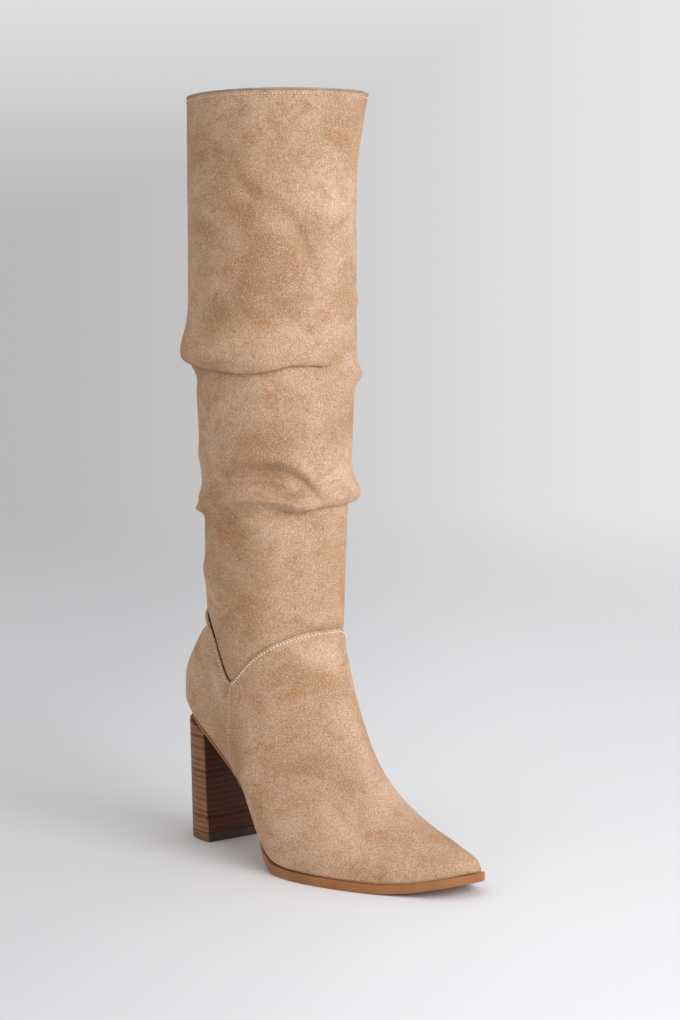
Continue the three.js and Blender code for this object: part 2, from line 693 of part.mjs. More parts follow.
const { position, facing, lean } = sliderPlace();
const zipHead = new THREE.Group();
zipHead.position.copy(position);
zipHead.rotation.z = facing;
root.add(zipHead);
const slider = addPiece("zip_slider", geometryFrom(makeSlider()), nickel, zipHead);
slider.rotation.x = lean;
const pull = addPiece("zip_pull", makePull(), nickel, zipHead);
pull.position.set(HINGE_X, 0, -PULL.hang);

export default root;
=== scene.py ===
"""Slouched knee-high boot for the right foot, in microsuede, with a stacked block heel and a zip.

Lengths in the tables are millimetres: X to the toe, Y to the inner side, Z up, from the middle of the
heel's ground face. Meshes are written in metres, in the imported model's frame.
"""

import math

import bmesh
import bpy
import numpy as np
from mathutils import Matrix, Vector


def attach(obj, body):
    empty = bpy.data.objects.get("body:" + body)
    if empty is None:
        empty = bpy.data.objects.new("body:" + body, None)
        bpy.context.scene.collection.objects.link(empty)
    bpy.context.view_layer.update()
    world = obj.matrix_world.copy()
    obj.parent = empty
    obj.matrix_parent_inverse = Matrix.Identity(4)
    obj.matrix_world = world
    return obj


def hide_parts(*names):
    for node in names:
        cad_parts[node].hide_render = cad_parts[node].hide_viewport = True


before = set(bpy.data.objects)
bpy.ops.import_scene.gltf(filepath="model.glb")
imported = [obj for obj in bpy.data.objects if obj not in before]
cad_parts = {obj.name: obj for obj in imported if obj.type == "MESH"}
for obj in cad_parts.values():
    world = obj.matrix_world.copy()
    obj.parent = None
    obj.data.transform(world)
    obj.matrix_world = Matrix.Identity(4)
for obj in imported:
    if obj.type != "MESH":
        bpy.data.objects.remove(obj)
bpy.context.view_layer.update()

bl_info = {
    "name": "Slouched knee-high boot",
    "version": (1, 0, 0),
    "blender": (4, 5, 0),
    "location": "3D View > Sidebar > Boot",
    "description": "Builds the panels, stitches, zip, sole, heel and studio of a slouched suede boot",
    "category": "Object",
}

MM = 0.001

# ---------------------------------------------------------------- driving sizes

ANKLE_Z = 150.0  # where the leg's own sections start
COLLAR_Z = 482.5
COLLAR_RISE = 2.0
COLLAR_HIGH = 40.0  # it rises most here, in degrees from the front
COLLAR_BAND = 60.0  # the collar's rise fades in over this much of the leg
LEVEL_HEIGHT = 160.0  # millimetres of leg for each unit of level above the ankle

PANEL_THICKNESS = 1.3
LEG_TUCK = 6.0  # the leg runs on under the foot's panels
LEG_DIP = 2.0  # and lies this much deeper there
LINING_DEPTH = 2.6
CLOTH_THICKNESS = 0.6  # of the lining and the zip's tape

SOLE_THICKNESS = 5.5
WAIST_THICKNESS = 2.2
SOLE_EDGE = 1.5  # how far the sole stands out round the forefoot
WAIST_EDGE = -0.6  # and at the waist and heel seat, where it is drawn in
WAIST_END_X = 84.0
TREAD_START_X = 112.0
BALL_X = 150.0  # here the sole is flat on the ground
SOLE_GAP = 0.3
SOLE_ROUND = 0.7  # radius of its edges
INSOLE_THICKNESS = 2.5
INSOLE_CLEARANCE = 2.6
SOCK_ROUND = 0.6

HEEL_WIDTH = 48.7
HEEL_BREAST_X = 21.0
HEEL_BACK_X = -13.0
HEEL_SIDE_LENGTH = 5.0
HEEL_CORNER = 1.4
HEEL_SQUARE = 0.86  # power of the back's superellipse: 1 is an ellipse
HEEL_CENTRE = np.array([4.0, 0.0])
HEEL_FLARE = 0.0009
BREAST_LEAN = 0.035
TOP_PIECE_THICKNESS = 6.0

SLOT_WIDTH = 7.6
SLOT_END_Z = 53.0  # the coil ends here, and the slot closes to a point under it
TAPE_WIDTH = 21.0
SLIDER_Z = 462.0

# The plan of each ring, as parts of its length from the back to the tip.
WAIST_PLACE = {-1: 0.33, 1: 0.38}  # outer and inner side
WAIST_SPREAD = 0.17
WAIST_FADE = 0.1  # no waist at the very back
SWING_FROM = 0.45  # the toe bends to the inner side from here
SKEW_FROM = 0.75
TOE_SKEW = 0.16
TOE_CAP = 13.0


def table(columns, rows):
    """A table with named columns, as one array for each column."""
    values = np.array(rows, dtype=float)
    return {name: values[:, i] for i, name in enumerate(columns.split())}


BOTTOM = table("x z", [
    (-26, 85.5), (-3, 82.4), (20, 75.5), (44, 61.0), (68, 42.0), (87, 23.5), (100, 12.5),
    (114, 6.8), (124, 6.0), (186, 6.0), (206, 8.0), (222, 11.5), (240, 16.5),
])
RING_COLUMNS = (
    "up backX backZ frontX frontZ swing outer inner outerWide innerWide "
    "heelRound taper round tip outerWaist innerWaist follow"
)
RINGS = table(RING_COLUMNS, [
    (0.0, -15.5, 85, 231, 13.6, 16, 46.0, 38.5, 0.56, 0.69, 2.1, 1.9, 1.0, 14, 13.0, 13.0, 1.0),
    (0.14, -23.5, 96, 231, 20.0, 16, 47.0, 40.0, 0.56, 0.68, 2.05, 1.9, 0.92, 10, 10.5, 10.5, 1.0),
    (0.3, -24, 108, 217.5, 27.5, 14.5, 45.5, 39.5, 0.55, 0.66, 2.0, 1.9, 0.76, 5, 7.5, 7.5, 1.0),
    (0.48, -20, 119, 188, 37.5, 11, 41.5, 38.0, 0.54, 0.6, 2.0, 1.9, 0.66, 0, 3.5, 4.0, 0.9),
    (0.66, -12.5, 129, 157, 56.0, 6, 39.0, 37.5, 0.52, 0.55, 2.0, 2.0, 0.58, 0, 1.5, 1.5, 0.6),
    (0.84, -2, 140, 132.5, 94.0, 2, 38.5, 37.7, 0.5, 0.5, 2.0, 2.0, 0.55, 0, 0.0, 0.0, 0.25),
    (1.0, 10.7, 150, 111.3, 150.0, 0, 39.3, 39.3, 0.5, 0.5, 2.0, 2.0, 0.5, 0, 0.0, 0.0, 0.0),
    (1.1, 10.0, 166, 112.1, 166.0, 0, 39.7, 39.7, 0.5, 0.5, 2.0, 2.0, 0.5, 0, 0.0, 0.0, 0.0),
])
LEG = table("z centre depth width", [
    (ANKLE_Z, 61, 50.3, 39.3), (190, 61.3, 51.5, 40.3), (226, 61.7, 52.3, 41.5),
    (250, 61.7, 54.5, 43.5), (300, 61.5, 57, 46), (316, 59, 60.5, 48.5),
    (350, 58.5, 60.5, 48.5), (430, 58.5, 60, 49), (COLLAR_Z, 64, 65, 51),
])

# The seam between foot and leg, seen from the side: a V with its point on the ankle.
SEAM = table("x z", [
    (-40, 159), (12, 157), (34, 149.5), (45, 140), (64.5, 113.5), (67.5, 115), (77.5, 124.5),
    (88.5, 134.7), (99, 142.2), (112, 149), (150, 151.5),
])
V_POINT = (64.5, 113.5)
# The seam between vamp and counter on the outer side, from the feather line to the V's point.
SIDE_SEAM = table("z x", [
    (45, 57.5), (60, 57.5), (80, 59.5), (100, 62.0), (V_POINT[1], V_POINT[0]), (130, 67),
])
ZIP = table("z x", [
    (47, 70), (80, 64), (112, 62), (200, 61), (290, 58), (360, 51), (430, 40), (COLLAR_Z + 12, 31),
])

# Soft rolls round the leg. Around is 0 at the front, 90 on the outer side, 180 at the back, -90 inside.
ROLLS = table("z around reach rise out up down", [
    (322, 100, 95, 3, 3.0, 16, 5),
    (310, -40, 38, 0, 2.6, 6, 6),
    (236, -20, 62, 5, 4.2, 8, 4),
    (224, 140, 70, 8, 3.4, 7, 5),
    (249, 50, 60, 0, -2.4, 6, 7),
    (181, 160, 60, 4, 2.4, 8, 7),
    (257, 165, 60, 0, 2.0, 6, 6),
])

# Sharp creases: the suede above hangs over them as a lip. Each path runs round the leg as (around, z).
# Lip is how far the roll above stands out, up its height, and overhang how far it sags over the crease.
# Hollow is the depth of the crease and down its spread. Past its ends it fades over fade degrees.
CREASES = [
    {"path": [(150, 321), (122, 317), (114, 316), (84, 313.6), (60, 312.3), (42, 313.8), (26, 317.3),
              (14, 317.4), (6, 315.6)],
     "lip": 3.6, "up": 6.0, "overhang": 3.4, "hollow": 2.4, "down": 2.6, "fade": 26},
    {"path": [(-70, 234), (-37, 232.4), (-8, 231.8), (16, 229.6), (30, 226.6)],
     "lip": 3.8, "up": 4.2, "overhang": 4.7, "hollow": 3.2, "down": 1.6, "fade": 22},
]

# Soft troughs (negative out) and ridges (positive out) pressed into the leg. Each has a path round the
# leg as (around, z), how far it moves the suede out, its spread across the path, and its fade in degrees.
SOFT_FOLDS = [
    ([(175, 309), (150, 308), (120, 306)], -2.0, 6.5, 30),
    ([(96, 246), (79, 247.4), (54, 250.0), (40, 250.2), (30, 248.4), (20, 244.5), (9, 236)], -4.2, 2.7, 16),
    ([(50, 243.5), (36, 243.5), (24, 239.5), (12, 234)], 0.9, 3.0, 18),
    ([(96, 238.5), (79, 240), (60, 241.5), (40, 241)], -1.9, 3.0, 18),
    ([(142, 221), (124, 222.5), (100, 226.5), (79, 230.5), (60, 232.5), (33, 232.5), (14, 232)],
     4.2, 3.0, 20),
    ([(130, 212), (100, 217), (80, 221), (56, 223.5), (34, 224.5)], -2.0, 3.2, 18),
    ([(76, 256), (54, 259), (36, 258), (20, 252), (8, 246)], 1.8, 4.0, 20),
    ([(62, 424), (48, 419), (38, 414), (24, 403), (17, 390), (12, 374)], -2.4, 5.4, 14),
    ([(40, 396), (26, 386), (20, 372)], 1.2, 7.0, 14),
    ([(6, 402), (2, 388)], 0.9, 9.0, 8),
    ([(40, 352), (28, 347), (16, 336)], -1.1, 4.5, 14),
    ([(86, 204), (66, 212), (46, 221)], -1.4, 4.6, 18),
    ([(80, 212), (62, 219)], 0.7, 3.4, 18),
    ([(84, 162), (62, 172), (40, 186), (24, 198)], -1.5, 6.0, 16),
    ([(70, 176), (50, 190), (34, 202)], 0.8, 5.0, 16),
    ([(36, 166), (16, 172), (0, 176)], -0.8, 5.0, 18),
    ([(120, 282), (100, 276), (84, 272)], -0.8, 7.0, 24),
    ([(4, 354), (-14, 360), (-36, 365)], -1.4, 2.8, 16),
    ([(0, 348), (-20, 352), (-42, 356)], 1.2, 3.6, 16),
    ([(-8, 340), (-36, 345)], -1.1, 2.8, 14),
    ([(4, 396), (-18, 403), (-42, 406)], -1.0, 4.2, 16),
    # The hidden inner side and back: small pinches beside the zip and bulges at the back.
    ([(-48, 300), (-62, 306), (-74, 316)], -1.6, 3.4, 14),
    ([(-40, 307), (-58, 315), (-70, 325)], 1.5, 4.5, 12),
    ([(-50, 244), (-64, 250), (-76, 252)], -1.6, 3.2, 12),
    ([(-118, 312), (-140, 308), (-160, 306)], -1.8, 4.0, 16),
    ([(-112, 320), (-140, 318), (-165, 320)], 1.6, 6.0, 18),
    ([(-112, 238), (-135, 234), (-160, 236)], -1.8, 3.6, 16),
    ([(-108, 228), (-135, 225), (-160, 226)], 1.8, 4.5, 18),
    ([(-110, 186), (-135, 190), (-160, 188)], -1.4, 4.5, 18),
    ([(-100, 372), (-120, 390), (-130, 414)], -1.5, 7.0, 12),
]


def smooth_column(rows, key, column, at):
    """A smooth value from a table whose keys rise.

    Between two rows it is the cubic whose end slopes are the harmonic means of the neighbouring chords'
    slopes, and zero where these change sign, so that it never overshoots the rows.
    """
    keys, values = rows[key], rows[column]
    at = np.clip(np.asarray(at, dtype=float), keys[0], keys[-1])
    slopes = np.diff(values) / np.diff(keys)
    product = slopes[:-1] * slopes[1:]
    total = np.where(product > 0, slopes[:-1] + slopes[1:], 1.0)
    inner = np.where(product > 0, 2 * product / total, 0.0)
    tangents = np.concatenate([slopes[:1], inner, slopes[-1:]])
    i = np.clip(np.searchsorted(keys, at, side="right") - 1, 0, len(keys) - 2)
    length = keys[i + 1] - keys[i]
    t = (at - keys[i]) / length
    return (
        values[i] * (1 + 2 * t) * (1 - t) ** 2
        + values[i + 1] * (3 - 2 * t) * t**2
        + tangents[i] * length * t * (1 - t) ** 2
        - tangents[i + 1] * length * t**2 * (1 - t)
    )


def bottom_z(x):
    """Height of the feather line, on which the foot's panels end, at a place along the boot."""
    return smooth_column(BOTTOM, "x", "z", x)


def smoothstep(value, low, high):
    """0 up to low and 1 from high, with a smooth cubic between them."""
    t = np.clip((value - low) / (high - low), 0.0, 1.0)
    return t * t * (3 - 2 * t)


def unit(vectors):
    """The same vectors with a length of one."""
    return vectors / np.linalg.norm(vectors, axis=-1, keepdims=True)


def run_along(points):
    """The distance along a path at each of its points, from 0 at the first."""
    return np.concatenate([[0], np.cumsum(np.linalg.norm(np.diff(points, axis=0), axis=1))])


def even_loop(points, count):
    """Points at even distances round a closed path."""
    closed = np.concatenate([points, points[:1]])
    run = run_along(closed)
    at = np.linspace(0, run[-1], count, endpoint=False)
    return np.stack([np.interp(at, run, values) for values in closed.T], axis=-1)


# ---------------------------------------------------------------- the last and the leg

FOOT_LEVELS = np.linspace(0.0, 1.0, 81)
LEG_HEIGHTS = np.linspace(ANKLE_Z, COLLAR_Z, 267)
SIDE_COLUMNS = 220
FINE_STEPS = 280


def ring_values():
    """Every ring's columns, foot first and then leg, as arrays over the rings."""
    values = {name: smooth_column(RINGS, "up", name, FOOT_LEVELS[:-1]) for name in RINGS if name != "up"}
    centre, depth, width = (
        smooth_column(LEG, "z", name, LEG_HEIGHTS) for name in ("centre", "depth", "width")
    )
    oval = {
        "backX": centre - depth, "frontX": centre + depth, "backZ": LEG_HEIGHTS, "frontZ": LEG_HEIGHTS,
        "outer": width, "inner": width, "outerWide": 0.5, "innerWide": 0.5, "heelRound": 2.0,
        "taper": 2.0, "round": 0.5,
    }
    for name in values:
        column = np.broadcast_to(oval.get(name, 0.0), LEG_HEIGHTS.shape)
        values[name] = np.concatenate([values[name], column])[:, None]
    return values


def ring_side(ring, side):
    """One side of every ring, -1 outer or 1 inner, from back to front in even steps of its length.

    Half width at part s of the length: a superellipse up to the widest place, then a power curve to the
    tip, less a bell for the waist and a rounded cap at the toe.
    """
    s = (1 - np.cos(np.linspace(0, math.pi, FINE_STEPS)))[None, :] / 2
    wide = ring["outerWide"] if side < 0 else ring["innerWide"]
    half = ring["outer"] if side < 0 else ring["inner"]
    heel = np.clip((wide - s) / wide, 0, 1)
    rear = half * (1 - heel ** ring["heelRound"]) ** (1 / ring["heelRound"])
    t = np.clip((s - wide) / (1 - wide), 0, 1)
    front = ring["tip"] + (half - ring["tip"]) * np.clip(1 - t ** ring["taper"], 0, 1) ** ring["round"]
    y = np.where(s < wide, rear, front)
    amount = ring["outerWaist"] if side < 0 else ring["innerWaist"]
    waist = np.exp(-(((s - WAIST_PLACE[side]) / WAIST_SPREAD) ** 2))
    y = y - amount * waist * np.minimum(1, s / WAIST_FADE)
    length = ring["frontX"] - ring["backX"]
    cap = np.clip(1 - (1 - s) * length / TOE_CAP, 0, 1)
    y = np.where(ring["tip"] > 0, y * np.clip(1 - cap**3, 0, 1) ** (1 / 3), y)
    bend = np.clip((s - SWING_FROM) / (1 - SWING_FROM), 0, 1) ** 1.5
    skew = TOE_SKEW * side * y * np.clip((s - SKEW_FROM) / (1 - SKEW_FROM), 0, 1) ** 2
    x = ring["backX"] + length * s + skew
    back, toe = bottom_z(ring["backX"]), bottom_z(ring["frontX"])
    slack = bottom_z(x) - (back + (toe - back) * s)
    z = ring["backZ"] + (ring["frontZ"] - ring["backZ"]) * s + ring["follow"] * slack
    fine = np.stack([x, side * y + ring["swing"] * bend, z], axis=-1)
    run = np.zeros(fine.shape[:2])
    run[:, 1:] = np.cumsum(np.linalg.norm(np.diff(fine, axis=1), axis=-1), axis=1)
    even = np.linspace(0, 1, SIDE_COLUMNS + 1)
    rows = [
        np.stack([np.interp(even * far[-1], far, row[:, k]) for k in range(3)], axis=-1)
        for far, row in zip(run, fine)
    ]
    return np.array(rows), run[:, -1]


class Last:
    """The boot's smooth outer surface: a grid of rings, read at any level and any place round it.

    Level is 0 at the feather line, 1 at the ankle and one more for each LEVEL_HEIGHT above it. Place is 0 at
    the back, 1 at the front by the outer side, and 2 at the back again by the inner side.
    """

    def __init__(self):
        ring = ring_values()
        outer, self.outer_length = ring_side(ring, -1)
        inner, self.inner_length = ring_side(ring, 1)
        self.points = np.concatenate([outer[:, :-1], inner[:, ::-1][:, :-1]], axis=1)
        self.levels = np.concatenate([FOOT_LEVELS[:-1], 1 + (LEG_HEIGHTS - ANKLE_Z) / LEVEL_HEIGHT])
        around = np.roll(self.points, -1, axis=1) - np.roll(self.points, 1, axis=1)
        upward = np.gradient(self.points, axis=0)
        self.normals = unit(np.cross(around, upward))
        self.columns = self.points.shape[1]

    def sample(self, level, place):
        """Point and normal between four neighbours of the grid, each weighted by its nearness."""
        level, place = np.broadcast_arrays(np.asarray(level, float), np.asarray(place, float))
        row = np.interp(level, self.levels, np.arange(len(self.levels)))
        column = np.mod(place, 2.0) * self.columns / 2
        r0 = np.minimum(row.astype(int), len(self.levels) - 2)
        c0 = column.astype(int) % self.columns
        c1 = (c0 + 1) % self.columns
        rt, ct = (row - r0)[..., None], (column - np.floor(column))[..., None]
        blended = [
            (grid[r0, c0] * (1 - ct) + grid[r0, c1] * ct) * (1 - rt)
            + (grid[r0 + 1, c0] * (1 - ct) + grid[r0 + 1, c1] * ct) * rt
            for grid in (self.points, self.normals)
        ]
        return blended[0], unit(blended[1])

    def side_length(self, level, inner):
        """Length of one side of the ring at a level, which turns millimetres into a part of place."""
        return np.interp(level, self.levels, self.inner_length if inner else self.outer_length)


LAST = Last()


def level_of_height(z):
    """The level of a height on the leg."""
    return 1 + (z - ANKLE_Z) / LEVEL_HEIGHT


COLLAR_LEVEL = level_of_height(COLLAR_Z)


def first_crossing(values):
    """For each column, the row, with its fraction, where the values first go from below zero to above."""
    above = values > 0
    row = np.clip(np.argmax(above, axis=0), 1, None)
    columns = np.arange(values.shape[1])
    low, high = values[row - 1, columns], values[row, columns]
    return row - 1 + np.clip(low / (low - high), 0, 1)


def trace_seam():
    """Level of the foot and leg seam at each column: where the surface rises through the V."""
    x, z = LAST.points[..., 0], LAST.points[..., 2]
    row = first_crossing(z - smooth_column(SEAM, "x", "z", x))
    return np.interp(row, np.arange(len(LAST.levels)), LAST.levels)


def trace_line(rows, inner):
    """Place round the boot, at each level, of a line that is drawn on its side as x for each z."""
    half = LAST.columns // 2
    grid = LAST.points[:, half:] if inner else LAST.points[:, : half + 1]
    ahead = grid[..., 0] - smooth_column(rows, "z", "x", grid[..., 2])
    crossing = first_crossing((-ahead if inner else ahead).T)
    return (crossing + (half if inner else 0)) * 2 / LAST.columns


SEAM_LEVELS = trace_seam()
ZIP_PLACES = trace_line(ZIP, True)
SIDE_PLACES = trace_line(SIDE_SEAM, False)


def around_boot(values, place):
    """A value kept for each column of the last, read at any place round it."""
    column = np.mod(place, 2.0) * LAST.columns / 2
    return np.interp(column, np.arange(LAST.columns + 1), np.append(values, values[0]))


def seam_level(place):
    """The level of the seam between foot and leg at a place round the boot."""
    return around_boot(SEAM_LEVELS, place)


PACE_STEP = 0.02


def level_pace(levels):
    """Millimetres of surface for each unit of level, at every column, near the given levels."""
    places = np.arange(LAST.columns) * 2 / LAST.columns
    under, over = np.maximum(levels - PACE_STEP, 0), levels + PACE_STEP
    low, _ = LAST.sample(under, places)
    high, _ = LAST.sample(over, places)
    return np.linalg.norm(high - low, axis=-1) / (over - under)


SEAM_PACE = level_pace(SEAM_LEVELS)
FEATHER_PACE = level_pace(np.zeros_like(SEAM_LEVELS))


def below_seam(place, distance):
    """The level that lies a number of millimetres under the seam, along the surface."""
    return seam_level(place) - distance / around_boot(SEAM_PACE, place)


def zip_place(level, across=0.0):
    """Place of the zip's middle at a level, or a number of millimetres across it towards the heel."""
    middle = np.interp(level, LAST.levels, ZIP_PLACES)
    return middle + across / LAST.side_length(level, True)


def side_place(level, across=0.0):
    """Place of the outer side seam at a level, or millimetres across it towards the toe."""
    middle = np.interp(level, LAST.levels, SIDE_PLACES)
    return middle + across / LAST.side_length(level, False)


def turn_between(a, b):
    """Degrees between two places round the leg, from -180 to 180."""
    return np.mod(a - b + 540.0, 360.0) - 180.0


def fold_path(path, fade, around):
    """Height of a fold at each place round the leg, and how strongly it shows there, from 0 to 1.

    The path's own points are joined by a smooth column. The strength falls in a smooth cubic over fade
    degrees, and the first two fifths of that fall lie inside the path's ends.
    """
    path = np.array(sorted(path), dtype=float)
    middle = (path[0, 0] + path[-1, 0]) / 2
    turn = middle + turn_between(around, middle)
    height = smooth_column({"a": path[:, 0], "z": path[:, 1]}, "a", "z", turn)
    beyond = np.maximum(path[0, 0] - turn, turn - path[-1, 0])
    return height, 1 - smoothstep(beyond / fade, -0.4, 0.6)


def hump(x):
    """A bump that rises at once from 0, is 1 at x = 1 and dies away slowly: x times e to the 1 - x."""
    x = np.maximum(x, 0)
    return x * np.exp(1 - x)


SAG_HEIGHT = 0.45  # a roll sags most at this part of its own height over the crease


def slouch(around, z):
    """How far the slouch pushes the leg out, and how far it drops it, in millimetres.

    A roll is a bell over its height times a cosine squared round the leg. A crease is a hump above its
    path, less a hollow that dies away exponentially to both sides. A soft fold is a bell across its path.
    """
    out = np.zeros_like(z)
    drop = np.zeros_like(z)
    for i in range(len(ROLLS["z"])):
        roll = {name: column[i] for name, column in ROLLS.items()}
        turn = np.abs(turn_between(around, roll["around"])) / roll["reach"]
        window = np.cos(math.pi / 2 * np.clip(turn, 0, 1)) ** 2
        height = z - roll["z"] - roll["rise"] * (0.5 - turn)
        spread = np.where(height > 0, roll["up"], roll["down"])
        out = out + roll["out"] * window * np.exp(-((height / spread) ** 2))
    for crease in CREASES:
        height, strength = fold_path(crease["path"], crease["fade"], around)
        above = z - height
        out = out + strength * crease["lip"] * hump(above / crease["up"])
        out = out - strength * crease["hollow"] * np.exp(-np.abs(above) / crease["down"])
        drop = drop + strength * crease["overhang"] * hump(above / (SAG_HEIGHT * crease["up"]))
    for path, push, wide, fade in SOFT_FOLDS:
        height, strength = fold_path(path, fade, around)
        out = out + strength * push * np.exp(-(((z - height) / wide) ** 2))
    return out, drop


SLOUCH_FADE = (ANKLE_Z - 5, ANKLE_Z + 10)  # there is no slouch below, and all of it above
ROLL_INSIDE = 0.35  # the part of a roll that what lies inside the leg follows


def surface(level, place, inner=False):
    """The suede's outer face: the last, pushed out along its normal by the slouch, and the collar's rise.

    For what lies inside the leg, the slouch keeps its troughs and loses most of its rolls and all its sag.
    """
    base, normal = LAST.sample(level, place)
    around = 180.0 - 180.0 * np.mod(place, 2.0)
    around = np.broadcast_to(around, base.shape[:-1])
    z = base[..., 2]
    out, drop = slouch(around, z)
    if inner:
        out = np.minimum(out, 0) + ROLL_INSIDE * np.maximum(out, 0)
        drop = np.zeros_like(drop)
    near_collar = smoothstep(z, COLLAR_Z - COLLAR_BAND, COLLAR_Z)
    lift = COLLAR_RISE * near_collar * np.cos(np.radians(around - COLLAR_HIGH))
    above_ankle = smoothstep(z, *SLOUCH_FADE)
    point = base + normal * (out * above_ankle)[..., None]
    point[..., 2] += lift - drop * above_ankle
    return point, normal


# ---------------------------------------------------------------- meshes

def grid_normals(grid):
    """Unit normals of a grid of points: the cross product of its two directions."""
    across = np.cross(np.gradient(grid, axis=1), np.gradient(grid, axis=0))
    return across / np.maximum(np.linalg.norm(across, axis=-1, keepdims=True), 1e-9)


def grid_faces(rows, columns, start=0, wrap=False, flip=False):
    """Quads of a grid whose points are numbered row by row from start."""
    last = columns if wrap else columns - 1
    r, c = np.meshgrid(np.arange(rows - 1), np.arange(last), indexing="ij")
    after = (c + 1) % columns
    row, next_row = r * columns, (r + 1) * columns
    quads = np.stack([row + c, row + after, next_row + after, next_row + c], axis=-1)
    quads = quads.reshape(-1, 4) + start
    return quads[:, ::-1] if flip else quads


def add_object(name, data):
    """A new object in the scene."""
    made = bpy.data.objects.new(name, data)
    bpy.context.scene.collection.objects.link(made)
    return made


def make_piece(name, points, faces, materials, face_material=None, weld=False):
    """A mesh object from points in millimetres and quads, shaded smooth, at the origin."""
    mesh = bpy.data.meshes.new(name)
    points = np.asarray(points, dtype=np.float32).reshape(-1, 3) * MM
    faces = np.asarray(faces, dtype=np.int32).reshape(-1, 4)
    mesh.vertices.add(len(points))
    mesh.vertices.foreach_set("co", points.ravel())
    mesh.loops.add(faces.size)
    mesh.loops.foreach_set("vertex_index", faces.ravel())
    mesh.polygons.add(len(faces))
    mesh.polygons.foreach_set("loop_start", np.arange(len(faces), dtype=np.int32) * 4)
    mesh.polygons.foreach_set("use_smooth", np.ones(len(faces), dtype=bool))
    if face_material is not None:
        mesh.polygons.foreach_set("material_index", np.asarray(face_material, dtype=np.int32))
    mesh.update(calc_edges=True)
    mesh.validate()
    for material in materials:
        mesh.materials.append(material)
    piece = add_object(name, mesh)
    if weld:
        shape = bmesh.new()
        shape.from_mesh(mesh)
        bmesh.ops.remove_doubles(shape, verts=shape.verts, dist=0.02 * MM)
        bmesh.ops.recalc_face_normals(shape, faces=shape.faces)
        shape.to_mesh(mesh)
        shape.free()
    return piece


def settle(piece, body, slot, *nodes):
    """Lets a piece ride on its body and hides the nodes that it stands for. The slot is not used."""
    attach(piece, body)
    if nodes:
        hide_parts(*nodes)


def boundary(grid):
    """The points round a grid's edge, in order, starting along its first row."""
    return np.concatenate([grid[0, :-1], grid[:-1, -1], grid[-1, :0:-1], grid[:0:-1, 0]])


def sheet(outer, thickness, edge_steps=4):
    """A leather sheet: outer face, inner face one thickness under it, and a half-round edge between them.

    The edge goes round as P + r sin(a) E - r (1 - cos(a)) N, where r is half the thickness, N the normal
    and E the direction in the surface that points off the sheet.
    """
    rows, columns = outer.shape[:2]
    normals = grid_normals(outer)
    inner = outer - normals * thickness
    down, right = np.gradient(outer, axis=0), np.gradient(outer, axis=1)
    off = np.zeros_like(outer)
    off[0] -= unit(down[0])
    off[-1] += unit(down[-1])
    off[:, 0] -= unit(right[:, 0])
    off[:, -1] += unit(right[:, -1])
    rim, rim_off, rim_normal = boundary(outer), unit(boundary(off)), boundary(normals)
    half = thickness / 2
    angles = math.pi * np.arange(1, edge_steps) / edge_steps
    loops = [rim + half * (math.sin(a) * rim_off - (1 - math.cos(a)) * rim_normal) for a in angles]
    points = np.concatenate([outer.reshape(-1, 3), inner.reshape(-1, 3), *loops])
    numbers = np.arange(rows * columns).reshape(rows, columns)
    count = len(rim)
    first = boundary(numbers[..., None])[:, 0]
    rings = [first]
    rings += [2 * rows * columns + k * count + np.arange(count) for k in range(len(loops))]
    rings.append(first + rows * columns)
    faces = [grid_faces(rows, columns), grid_faces(rows, columns, rows * columns, flip=True)]
    for ring, after in zip(rings, rings[1:]):
        faces.append(np.stack([np.roll(ring, -1), ring, after, np.roll(after, -1)], axis=-1))
    return points, np.concatenate(faces)


def join_parts(parts):
    """Joins lists of points and faces into one."""
    points, faces, start = [], [], 0
    for part_points, part_faces in parts:
        points.append(part_points.reshape(-1, 3))
        faces.append(part_faces + start)
        start += len(points[-1])
    return np.concatenate(points), np.concatenate(faces)


def beads(centres, along, outward, size, power, rings=5, sides=6):
    """Many small rounded pegs, such as stitches or coil turns, in one mesh.

    Size is the half length, half width and half height of each, laid along its own direction. Its ring at
    the angle a has the radius sin(a) to the power, at cos(a) of the half length. The number of sides is
    even, so that each end is closed by a strip of quads.
    """
    centres = centres.reshape(-1, 3)
    along = unit(along)
    side = unit(np.cross(outward, along))
    lift = np.cross(along, side)
    a = np.linspace(0, math.pi, rings + 2)
    b = np.linspace(0, 2 * math.pi, sides, endpoint=False)
    radius = np.sin(a) ** power
    radius[[0, -1]] = 0.02  # the ends are small flats
    shape = np.stack([
        np.repeat(-np.cos(a)[:, None], sides, 1) * size[0],
        radius[:, None] * np.cos(b)[None, :] * size[1],
        radius[:, None] * np.sin(b)[None, :] * size[2],
    ], axis=-1)
    axes = np.stack([along, side, lift], axis=1)
    points = centres[:, None, None, :] + np.einsum("rsk,nkj->nrsj", shape, axes)
    k = np.arange(sides // 2 - 1)
    first = np.stack([k, sides - 1 - k, sides - 2 - k, k + 1], axis=-1)
    last = first[:, ::-1] + (rings + 1) * sides
    one = np.concatenate([grid_faces(rings + 2, sides, wrap=True), first, last])
    step = (rings + 2) * sides
    faces = one[None] + (np.arange(len(centres)) * step)[:, None, None]
    return points.reshape(-1, 3), faces.reshape(-1, 4)


def walk(points, pitch):
    """Places along a path at an even pitch: their number with its fraction, for interpolation."""
    run = run_along(points)
    count = max(2, int(run[-1] / pitch))
    at = (np.arange(count) + 0.5) * run[-1] / count
    return np.interp(at, run, np.arange(len(points)))


def read_path(values, at):
    """Values kept along a path, read between its points."""
    i = np.minimum(at.astype(int), len(values) - 2)
    t = (at - i)[:, None]
    return values[i] * (1 - t) + values[i + 1] * t


STITCH_LIFT = 0.12  # a stitch's middle line over the suede
NEARBY = 1e-3  # a step of level or place, to find the slope of the suede


